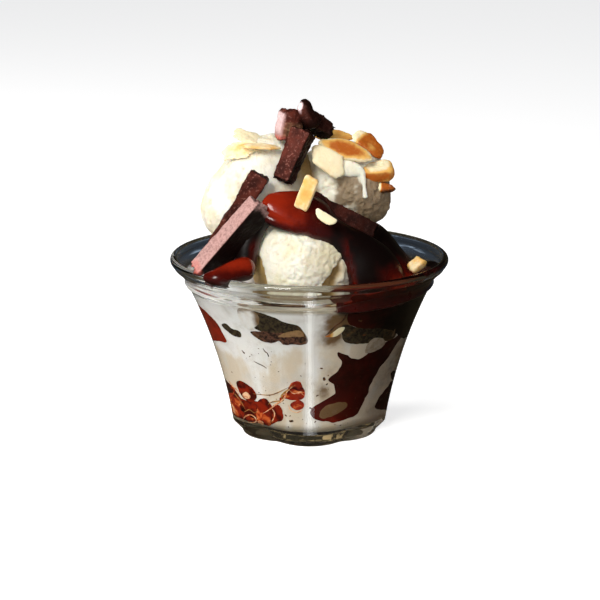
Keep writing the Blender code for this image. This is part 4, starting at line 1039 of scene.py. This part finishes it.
def sauceLit(points):
    # painted light: lit on the band's left end, fading to the right and down; a painted highlight in the seam by the
    # front scoop, and redder again at the foot of the pour on the right
    x, y, z = points.T
    left = rampUp(20.0, -16.0, x) * rampUp(89.0, 96.0, z + 0.45 * x)
    streak = layeredNoise(points * np.array([1.0, 1.0, 0.15]), 1.6, 3, 17)
    seam = 0.60 * np.exp(-((x - 16.6 + 0.12 * (z - 82.0)) / 2.4) ** 2) * rampUp(95.0, 84.0, z) * rampUp(-26.0, -30.0, y)
    seam = seam * rampUp(71.5, 73.0, z) * (1.0 + 0.7 * streak)
    foot = 0.74 * rampUp(24.0, 37.0, x) * rampUp(90.0, 79.0, z + 0.15 * x) * rampUp(71.5, 74.0, z)
    under = 0.30 * rampUp(74.0, 71.0, z)
    arm = 0.36 * rampUp(-26.5, -24.0, x) * rampUp(-18.0, -21.0, x) * rampUp(95.0, 88.0, z)
    return np.clip(0.95 * left + seam + np.maximum(foot, under) + arm, 0.0, 1.0)


def joinedSkin(name, parts, cell, smoothing, material, nodes, litness):
    # several closed skins melted into one: filled with small cells, skinned again and smoothed
    points = []
    faces = []
    start = 0
    for rings in parts:
        count, around = rings.shape[:2]
        base = np.arange(count - 1)[:, None] * around
        step = np.arange(around)[None, :]
        after = (step + 1) % around
        quads = np.stack([base + step, base + around + step, base + around + after, base + after], -1).reshape(-1, 4)
        points.append(rings.reshape(-1, 3))
        faces += (quads + start).tolist()
        faces.append((start + np.arange(around)).tolist())
        faces.append((start + (count - 1) * around + np.arange(around)).tolist()[::-1])
        start += count * around
    mesh = bpy.data.meshes.new(name)
    mesh.from_pydata((np.concatenate(points) * mm).tolist(), [], faces)
    rough = bpy.data.objects.new(name + "_rough", mesh)
    bpy.context.scene.collection.objects.link(rough)
    remesh = rough.modifiers.new("cells", "REMESH")
    remesh.mode = "VOXEL"
    remesh.voxel_size = cell * mm
    smooth = rough.modifiers.new("smooth", "SMOOTH")
    smooth.factor = 0.5
    smooth.iterations = smoothing
    bpy.context.view_layer.update()
    ready = bpy.data.meshes.new_from_object(rough.evaluated_get(bpy.context.evaluated_depsgraph_get()))
    bpy.data.objects.remove(rough)
    ready.name = name
    spots = np.empty(len(ready.vertices) * 3)
    ready.vertices.foreach_get("co", spots)
    mark = ready.attributes.new("lit", "FLOAT", "POINT")
    mark.data.foreach_set("value", litness(spots.reshape(-1, 3) / mm).astype(np.float32))
    ready.materials.clear()
    ready.materials.append(material)
    ready.shade_smooth()
    piece = bpy.data.objects.new(name, ready)
    bpy.context.scene.collection.objects.link(piece)
    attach(piece, "root")
    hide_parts(*nodes)
    return piece


joinedSkin("chocolateSauce", [ropePoints(band, 80, 48, (0.0, -0.7, 0.7)), ropePoints(bandEdge, 50, 24, (0.0, -1.0, 0.2)),
                              ropePoints(bandArm, 40, 28, (-0.2, -1.0, 0.3)), pourPoints()],
           0.5, 9, sauce, ["chocolate_sauce"], sauceLit)
# painted light, brighter towards the top of the dollop
rings = ropePoints(dollop, 90, 64)
ringPiece("sauceDollop", rings, sauce, "chocolate_sauce", ["sauce_dollop"],
          marks={"lit": 0.22 + 0.62 * rampUp(76.5, 83.5, rings[..., 2])})
print("sauce made")


# Chocolate.

# Bars run from start to end; face is where the broad side looks; size is its width and the thickness under it.
# bloom is sugar bloom and painted light on the broad face, frost the bloom at the start end; gleam is a painted
# highlight; shadow is painted shade, its first number on the sides and its second on the broad face, and fade adds
# painted shade towards the end; layers are tan strata, on the chunk painted glints.
bars = {
    "chocolateBarLeft": {"node": "chocolate_bar_left", "start": (-19.8, -34.0, 106.3), "end": (-44.2, -33.1, 77.3),
                         "face": (-0.55, -0.55, 0.62), "size": (8.0, 10.0), "taper": 1.08, "rough": 0.32, "bloomAndLitFace": 1.0,
                         "frost": 0.8, "ragged": 1.9, "warm": 0.45, "warmFrom": 0.93, "shadow": (1.0, 0.0)},
    "chocolateStickLeft": {"node": "chocolate_stick_left", "start": (-20.5, -24.0, 117.0), "end": (-39.0, -23.5, 86.5),
                           "face": (0.20, -0.85, 0.45), "size": (8.0, 5.4), "taper": 0.95, "rough": 0.6, "bloomAndLitFace": 0.0,
                           "shadow": (0.75, 0.0)},
    "chocolateBarTop": {"node": "chocolate_bar_top", "start": (-2.4, -15.0, 133.5), "end": (-11.2, -20.5, 113.8),
                        "face": (-0.50, -0.82, 0.25), "size": (9.4, 6.5), "taper": 0.88, "rough": 0.6, "bloomAndLitFace": 0.0,
                        "shadow": (0.85, 0.0)},
    "chocolateNugget": {"node": "chocolate_nugget", "start": (-7.6, -8.6, 141.2), "end": (-9.6, -9.0, 128.8),
                        "face": (-0.85, -0.45, 0.2), "size": (8.2, 9.6), "taper": 1.05, "rough": 0.6, "bloomAndLitFace": 0.7,
                        "round": 2.4, "layers": 0.75, "warm": 0.9, "gleam": 0.45},
    "chocolateCurl": {"node": "chocolate_curl", "start": (-3.0, -10.2, 145.6), "end": (3.0, -9.4, 135.0),
                      "face": (-0.7, -0.6, 0.4), "size": (5.0, 6.0), "taper": 1.3, "rough": 0.25, "bloomAndLitFace": 0.0,
                      "bow": 1.6, "round": 2.3, "shadow": (0.9, 0.45), "fade": 0.95, "gleam": 1.0, "gleamWay": (-0.75, -0.5, 0.42)},
    "chocolateChunk": {"node": "chocolate_chunk", "start": (-2.0, -6.5, 137.5), "end": (8.5, -4.0, 131.0),
                       "face": (0.1, -0.7, 0.7), "size": (9.0, 9.0), "taper": 0.75, "rough": 1.3, "bloomAndLitFace": 0.0, "round": 1.2,
                       "layers": 0.6, "shadow": (1.0, 0.85)},
    "chocolateSlabRight": {"node": "chocolate_slab_right", "start": (-1.0, -23.5, 106.0), "end": (27.0, -20.5, 91.9),
                           "face": (-0.1, -0.95, 0.4), "size": (8.4, 7.0), "taper": 0.85, "rough": 0.5, "bloomAndLitFace": 0.0,
                           "shadow": (1.0, 0.55), "fade": 0.8},
}
barGrid = {"side": 26, "corner": 6, "steps": 90, "round": 0.7, "capRings": 10}


def boxOutline(halfWide, halfTall, corner, sideSteps, cornerSteps):
    # a rectangle with quarter circles at its corners, as points and the ways they look
    places = []
    ways = []
    for index, (sx, sy) in enumerate(((1, 1), (-1, 1), (-1, -1), (1, -1))):
        t = np.linspace(0.0, 0.5 * np.pi, cornerSteps) + index * 0.5 * np.pi
        middle = np.array([sx * (halfWide - corner), sy * (halfTall - corner)])
        way = np.stack([np.cos(t), np.sin(t)], -1)
        arc = middle + corner * way
        following = [(-1, 1), (-1, -1), (1, -1), (1, 1)][index]
        nextMiddle = np.array([following[0] * (halfWide - corner), following[1] * (halfTall - corner)])
        line = np.linspace(arc[-1], nextMiddle + corner * way[-1], sideSteps + 2)[1:-1]
        places.append(np.concatenate([arc, line]))
        ways.append(np.concatenate([way, np.repeat(way[-1:], sideSteps, axis=0)]))
    return np.concatenate(places), np.concatenate(ways)


def makeBar(name, bar, seed):
    # a rounded rectangle carried from end to end, closed by rings that shrink to the middle of each broken end
    start = np.array(bar["start"])
    end = np.array(bar["end"])
    length = np.linalg.norm(end - start)
    forward = (end - start) / length
    face = unit(np.array(bar["face"]) - np.dot(bar["face"], forward) * forward)
    side = np.cross(forward, face)
    corner = bar.get("round", barGrid["round"])
    outline, ways = boxOutline(0.5 * bar["size"][0], 0.5 * bar["size"][1], corner, barGrid["side"], barGrid["corner"])
    t = np.linspace(0.0, 0.5 * np.pi, 7)
    r = corner / length
    middle = np.linspace(r, 1.0 - r, barGrid["steps"])[1:-1]
    along = np.concatenate([r * (1.0 - np.cos(t)), middle, 1.0 - r * (1.0 - np.cos(t[::-1]))])
    inset = np.concatenate([corner * (1.0 - np.sin(t)), 0.0 * middle, corner * (1.0 - np.sin(t[::-1]))])
    scale = 1.0 + (bar["taper"] - 1.0) * along
    section = outline[None] * scale[:, None, None] - ways[None] * inset[:, None, None]
    shrink = np.linspace(0.08, 0.94, barGrid["capRings"])
    section = np.concatenate([shrink[:, None, None] * section[:1], section, shrink[::-1, None, None] * section[-1:]])
    cap = np.zeros(barGrid["capRings"])
    along = np.concatenate([cap, along, cap + 1.0])
    middle = start + along[:, None] * (end - start) + bar.get("bow", 0.0) * np.sin(np.pi * along)[:, None] * face
    rings = middle[:, None, :] + section[..., :1] * side + section[..., 1:] * face
    normals = gridNormals(rings)
    facing = np.clip(normals @ face, 0.0, 1.0)
    ends = np.abs(normals @ forward)
    broken = 1.0 - 0.6 * rampUp(0.75, 0.95, facing)
    relief = layeredNoise(rings, 5.0, 5, seed, 0.55) + 0.5 * creases(rings, 2.6, 3, seed + 2) - 0.4
    relief = relief + bar.get("ragged", 0.6) / bar["rough"] * rampUp(0.5, 1.0, ends) * layeredNoise(rings, 3.0, 4, seed + 5)
    rings = rings + normals * (bar["rough"] * relief * broken)[..., None]
    # painted light with the sugar bloom: pinkish on the broad face as it turns towards the lamp
    bloomAndLitFace = bar["bloomAndLitFace"] * rampUp(0.55, 0.9, facing)
    frost = bar.get("frost", 0.0) * rampUp(0.5, 0.9, -(normals @ forward))
    frost = np.maximum(frost, 0.8 * bar.get("frost", 0.0) * rampUp(0.09, 0.0, along[:, None] + 0.05 * relief))
    lines = 0.45 + np.sin(fullTurn * 2.2 * along[:, None] + 1.2 * relief) ** 12
    lines = lines * (1.0 - facing) * rampUp(0.30, 0.50, along[:, None]) * rampUp(0.95, 0.75, along[:, None])
    under, over = bar.get("shadow", (0.0, 0.0))
    low = rampUp(bar.get("warmFrom", 0.72), 1.0, along[:, None] + 0.05 * relief) * rampUp(0.2, 0.7, normals @ unit((-0.6, -0.8, 0.0)))
    gleam = rampUp(0.80, 0.97, normals @ unit(bar.get("gleamWay", (-0.92, -0.30, 0.30)))) * rampUp(0.9, 0.6, along[:, None])
    marks = {"bloomAndLitFace": np.maximum(bloomAndLitFace, frost), "layers": bar.get("layers", 0.0) * lines,
             "warm": bar.get("warm", 0.0) * low, "gleam": bar.get("gleam", 0.0) * gleam,
             "shadow": np.maximum(under + (over - under) * rampUp(0.35, 0.75, facing),
                                  bar.get("fade", 0.0) * rampUp(0.2, 0.85, along[:, None]))}
    ringPiece(name, rings, chocolate, "dark_chocolate", [bar["node"]], marks=marks)


for seed, (name, bar) in enumerate(bars.items()):
    makeBar(name, bar, 60 + 13 * seed)
print("chocolate made")


# Almonds.

# Flakes lie round a centre: along and face are the ways they run and look; size is length, width and thickness.
# toast is how brown the middle and the edge are, and toward is a way in which the browning grows.
almonds = {
    "almondToasted": {"node": "almond_toasted", "centre": (15.2, -8.4, 124.6), "along": (1.0, -0.1, -0.28),
                      "face": (0.1, -0.75, 0.65), "size": (24.0, 9.6, 3.0), "power": 1.75, "point": 0.06,
                      "toast": (1.05, 0.02), "bend": 1.0},
    "almondBroad": {"node": "almond_broad", "centre": (7.4, -14.2, 121.0), "along": (0.85, -0.05, -0.52),
                    "face": (0.1, -0.92, 0.35), "size": (17.5, 10.5, 2.0), "power": 3.4, "point": -0.15,
                    "toast": (-0.05, 0.12), "bend": 0.6, "ragged": 0.09, "cuts": [(20, 0.88), (200, 0.82), (262, 0.80)]},
    "almondBack": {"node": "almond_back", "centre": (10.2, 3.6, 128.8), "along": (1.0, 0.1, -0.08),
                   "face": (0.0, -0.45, 0.9), "size": (17.0, 7.4, 2.4), "power": 2.0, "point": 0.10,
                   "toast": (0.55, 0.6), "bend": 0.6},
    "almondEdge": {"node": "almond_edge", "centre": (25.6, 2.3, 125.4), "along": (0.75, -0.2, -0.62),
                   "face": (0.45, -0.60, 0.62), "size": (16.0, 9.6, 2.4), "power": 2.2, "point": 0.15,
                   "toast": (0.85, 1.0), "bend": 0.8, "ragged": 0.10, "paleEnd": 1.1},
    "almondBlock": {"node": "almond_block", "centre": (29.0, -5.2, 114.6), "along": (1.0, 0.1, 0.10),
                    "face": (0.1, -0.5, 0.85), "size": (13.2, 8.5, 6.6), "power": 4.0, "point": -0.08,
                    "toast": (-0.1, 0.95), "bend": 0.0, "box": 6.0},
    "almondStub": {"node": "almond_stub", "centre": (32.6, -5.6, 107.6), "along": (1.0, 0.0, -0.12),
                   "face": (0.0, -0.8, 0.5), "size": (8.4, 4.4, 3.8), "power": 2.0, "point": 0.30,
                   "toast": (1.5, 1.7), "bend": 0.0, "paleEnd": 2.4},
    "almondSliverUpright": {"node": "almond_sliver_upright", "centre": (-1.4, -35.2, 111.2), "along": (-0.36, -0.05, -0.93),
                            "face": (-0.25, -0.95, 0.1), "size": (14.2, 6.4, 2.8), "power": 7.0, "point": 0.0,
                            "toast": (0.50, 0.30), "bend": 0.0, "box": 5.0, "ragged": 0.03},
    "almondSliverSauce": {"node": "almond_sliver_sauce", "centre": (7.0, -38.2, 102.6), "along": (0.84, -0.1, -0.50),
                          "face": (0.15, -0.9, 0.45), "size": (9.8, 6.8, 1.8), "power": 2.2, "point": 0.0,
                          "toast": (-0.4, -0.3), "bend": 0.0, "cuts": [(90, 0.15)]},
    "almondAtRim": {"node": "almond_at_rim", "centre": (45.4, -23.5, 78.6), "along": (0.75, 0.1, 0.62),
                    "face": (-0.3, -0.7, 0.6), "size": (8.4, 5.6, 4.4), "power": 2.8, "point": 0.10,
                    "toast": (0.32, 0.4), "bend": 0.0, "box": 3.0, "cuts": [(15, 0.72)]},
    "almondLeftLow": {"node": "almond_left_low", "centre": (-29.6, -8.0, 124.4), "along": (0.85, -0.2, 0.22),
                      "face": (-0.45, -0.6, 0.65), "size": (15.5, 9.6, 1.5), "power": 2.6, "point": 0.10,
                      "toast": (0.30, -0.05), "bend": 0.8, "ragged": 0.20},
    "almondLeftMid": {"node": "almond_left_mid", "centre": (-20.6, -12.6, 126.9), "along": (1.0, -0.1, -0.06),
                      "face": (-0.1, -0.12, 0.99), "size": (16.0, 6.5, 1.4), "power": 2.2, "point": 0.10,
                      "toast": (0.15, 0.42), "bend": 0.5, "ragged": 0.16},
    "almondLeftTop": {"node": "almond_left_top", "centre": (-25.4, -2.0, 128.8), "along": (0.95, 0.0, -0.28),
                      "face": (-0.1, -0.42, 0.9), "size": (15.5, 8.0, 1.4), "power": 2.4, "point": 0.15,
                      "toast": (-0.15, -0.1), "bend": 0.8, "ragged": 0.20},
}
almondGrid = {"around": 96, "rings": 26}


def makeAlmond(name, flake, seed):
    # superellipse |x|^p + |y|^p = 1, cut straight where d . (x, y) passes a share, shrunk ring by ring on both
    # faces; half thickness (1 - s^box)^(1/2) at share s of the way out
    along = unit(flake["along"])
    face = unit(np.array(flake["face"]) - np.dot(flake["face"], along) * along)
    side = np.cross(face, along)
    half = np.array(flake["size"]) * 0.5
    t = np.arange(almondGrid["around"]) * fullTurn / almondGrid["around"]
    power = 2.0 / flake["power"]
    long = np.sign(np.cos(t)) * np.abs(np.cos(t)) ** power
    wide = np.sign(np.sin(t)) * np.abs(np.sin(t)) ** power
    wide = wide * (1.0 - flake["point"] * long)
    edge = np.stack([long, wide, 0.0 * t + seed], -1)
    ragged = 1.0 + flake.get("ragged", 0.05) * layeredNoise(edge, 0.5, 4, seed, 0.6)
    for angle, share in flake.get("cuts", []):
        toward = np.array([np.cos(np.radians(angle)), np.sin(np.radians(angle))])
        over = np.maximum(long * toward[0] + wide * toward[1] - share, 0.0)
        long = long - over * toward[0]
        wide = wide - over * toward[1]
    s = np.sin(np.linspace(0.06, 0.5 * np.pi, almondGrid["rings"]))
    s = np.concatenate([s, s[::-1][1:]])
    up = np.concatenate([np.full(almondGrid["rings"], -1.0), np.full(almondGrid["rings"] - 1, 1.0)])
    level = up * np.sqrt(np.clip(1.0 - s ** (2.0 * flake.get("box", 3.0)), 0.0, 1.0))
    x = half[0] * s[:, None] * (long * ragged)[None, :]
    y = half[1] * s[:, None] * (wide * ragged)[None, :]
    z = half[2] * level[:, None] - flake["bend"] * (x / half[0]) ** 2
    rings = np.array(flake["centre"]) + x[..., None] * along + y[..., None] * side + z[..., None] * face
    normals = gridNormals(rings)
    chunky = half[2] / half[1]
    relief = 0.12 * layeredNoise(rings, 2.0, 4, seed + 4) + 0.6 * chunky ** 2 * layeredNoise(rings, 4.0, 3, seed + 6)
    rings = rings + normals * relief[..., None]
    middle, rim = flake["toast"]
    toast = middle + (rim - middle) * np.maximum(s, -0.6 * level * chunky)[:, None] ** 3 + 0.0 * x
    toast = toast - flake.get("paleEnd", 0.0) * rampUp(-0.35, -0.8, x / half[0])
    ringPiece(name, rings, almond, "toasted_almond" if flake["toast"][0] > 0.3 else "almond", [flake["node"]], marks={"toast": toast})


for seed, (name, flake) in enumerate(almonds.items()):
    makeAlmond(name, flake, 5 + 17 * seed)
print("almonds made")


# Floor, light and camera.

studio = {
    "floorSize": 4.0, "floor": shade(225, 225, 225), "floorGlow": 0.65,
    "nearInGlass": shade(56, 49, 36), "farInGlass": shade(62, 70, 82), "nearEdge": 0.16, "farEdge": 0.32,
    "frontInGlass": shade(176, 169, 150), "frontReach": 0.095, "warmInGlass": shade(104, 50, 28), "blueInGlass": shade(168, 186, 210),
    "glint": shade(240, 204, 146),
    "leftInGlass": shade(176, 184, 192), "leftEdge": (-0.03, -0.16), "frontEdge": (0.04, -0.04),
    "seen": (1.0, 1.0, 1.0, 1.0), "ambient": (0.20, 0.205, 0.215, 1.0),
    "low": shade(60, 54, 40), "highInGlass": shade(48, 56, 68), "highMirrored": shade(30, 27, 26),
}
lights = {
    "keyFront": {"at": (-0.50, -0.92, 0.86), "size": (0.44, 0.54), "power": 14.0, "colour": (1.0, 0.98, 0.94)},
    "keyLeft": {"at": (-1.00, 0.10, 0.62), "size": (0.35, 0.45), "power": 9.0, "colour": (1.0, 0.98, 0.96), "mirrored": False},
    "fillFront": {"at": (0.10, -1.20, 0.55), "size": (0.60, 0.50), "power": 4.0, "colour": (1.0, 0.98, 0.95), "mirrored": False},
    # two bright strips on the table before the dish, one in the other, seen in the glass alone
    "stripWide": {"at": (0.0005, -0.095, 0.001), "size": (0.012, 0.11), "power": 0.008, "colour": (1.0, 1.0, 1.0), "up": True},
    "stripNarrow": {"at": (0.0005, -0.095, 0.002), "size": (0.005, 0.11), "power": 0.005, "colour": (1.0, 1.0, 1.0), "up": True},
}
aim = Vector((0.0, 0.0, 0.075))


def makeStudio():
    side = studio["floorSize"]
    corners = [(-side, -side, 0.0), (side, -side, 0.0), (side, side, 0.0), (-side, side, 0.0)]
    mesh = bpy.data.meshes.new("floor")
    mesh.from_pydata(corners, [], [(0, 1, 2, 3)])
    material, tree, shader, place = newMaterial("pale_floor")
    path = addNode(tree, "ShaderNodeLightPath")
    mirrored = sums(tree, "MAXIMUM", path.outputs["Is Transmission Ray"], path.outputs["Is Glossy Ray"])
    distance = addNode(tree, "ShaderNodeVectorMath", {0: place}, operation="LENGTH").outputs["Value"]
    sides = addNode(tree, "ShaderNodeSeparateXYZ", {"Vector": place}).outputs
    far = between(tree, distance, studio["nearEdge"], studio["farEdge"])
    front = between(tree, distance, 1.2 * studio["frontReach"], studio["frontReach"])
    front = sums(tree, "MULTIPLY", front, between(tree, noise(tree, place, 9.0, 3.0, 0.6, (0.25, 1.0, 1.0)), 0.42, 0.54, 0.35, 1.0))
    front = sums(tree, "MULTIPLY", front, path.outputs["Is Transmission Ray"])
    frontSide = blendColours(tree, between(tree, sides[0], 0.014, 0.032), studio["frontInGlass"], studio["warmInGlass"])
    nearSide = blendColours(tree, front, studio["nearInGlass"], frontSide)
    # two groups of light blue glints on the far floor, seen through the raised lip behind
    sideways = sums(tree, "ABSOLUTE", sides[0])
    streaks = between(tree, noise(tree, place, 16.0, 2.0, 0.5, (1.0, 0.3, 1.0)), 0.40, 0.56)
    for value, low, high in ((sideways, 0.055, 0.062), (sideways, 0.088, 0.078), (sides[1], 0.325, 0.345), (sides[1], 0.43, 0.39)):
        streaks = sums(tree, "MULTIPLY", streaks, between(tree, value, low, high))
    farSide = blendColours(tree, streaks, studio["farInGlass"], studio["blueInGlass"])
    glassSide = blendColours(tree, far, nearSide, farSide)
    leftward = sums(tree, "MULTIPLY", between(tree, sides[0], *studio["leftEdge"]), between(tree, sides[1], *studio["frontEdge"]))
    leftward = sums(tree, "MULTIPLY", leftward, path.outputs["Is Transmission Ray"])
    glassSide = blendColours(tree, leftward, glassSide, studio["leftInGlass"])
    tree.links.new(blendColours(tree, mirrored, studio["floor"], glassSide), shader.inputs["Base Color"])
    tree.links.new(sums(tree, "MULTIPLY", path.outputs["Is Camera Ray"], studio["floorGlow"]), shader.inputs["Emission Strength"])
    setShader(shader, Emission_Color=(1.0, 1.0, 1.0, 1.0), Roughness=0.9, Specular_IOR_Level=0.1)
    mesh.materials.append(material)
    floor = bpy.data.objects.new("floor", mesh)
    bpy.context.scene.collection.objects.link(floor)

    world = bpy.data.worlds.new("studio")
    bpy.context.scene.world = world
    world.use_nodes = True
    tree = world.node_tree
    back = tree.nodes["Background"]
    direction = addNode(tree, "ShaderNodeTexCoord").outputs["Generated"]
    height = addNode(tree, "ShaderNodeSeparateXYZ", {"Vector": direction}).outputs[2]
    path = addNode(tree, "ShaderNodeLightPath")
    high = blendColours(tree, path.outputs["Is Glossy Ray"], studio["highInGlass"], studio["highMirrored"])
    # gold glints seen through the base, from behind the dish
    glint = between(tree, noise(tree, direction, 90.0, 3.0, 0.6, (1.0, 1.0, 2.0)), 0.55, 0.63)
    glint = sums(tree, "MULTIPLY", glint, path.outputs["Is Transmission Ray"])
    low = blendColours(tree, glint, studio["low"], studio["glint"])
    mirrored = blendColours(tree, between(tree, height, 0.10, 0.35), low, high)
    colour = blendColours(tree, path.outputs["Is Diffuse Ray"], mirrored, studio["ambient"])
    tree.links.new(blendColours(tree, path.outputs["Is Camera Ray"], colour, studio["seen"]), back.inputs["Color"])

    for name, values in lights.items():
        lamp = bpy.data.lights.new(name, "AREA")
        lamp.shape = "RECTANGLE"
        lamp.size, lamp.size_y = values["size"]
        lamp.energy = values["power"]
        lamp.color = values["colour"]
        holder = bpy.data.objects.new(name, lamp)
        holder.location = values["at"]
        holder.visible_glossy = values.get("mirrored", True)
        holder.visible_transmission = False
        if values.get("up"):
            holder.rotation_euler = (np.pi, 0.0, 0.0)
            holder.visible_camera = False
            holder.visible_diffuse = False
        else:
            holder.rotation_euler = (aim - holder.location).to_track_quat("-Z", "Y").to_euler()
        bpy.context.scene.collection.objects.link(holder)


def makeCamera():
    camera = bpy.data.objects.new("camera", bpy.data.cameras.new("camera"))
    camera.data.lens = 114.0
    camera.location = (-0.004, -0.800, 0.2616)
    camera.rotation_euler = (Vector((-0.004, 0.0, 0.0571)) - camera.location).to_track_quat("-Z", "Y").to_euler()
    bpy.context.scene.collection.objects.link(camera)
    bpy.context.scene.camera = camera
    bpy.context.scene.view_settings.view_transform = "Standard"


makeStudio()
makeCamera()
print("studio made")
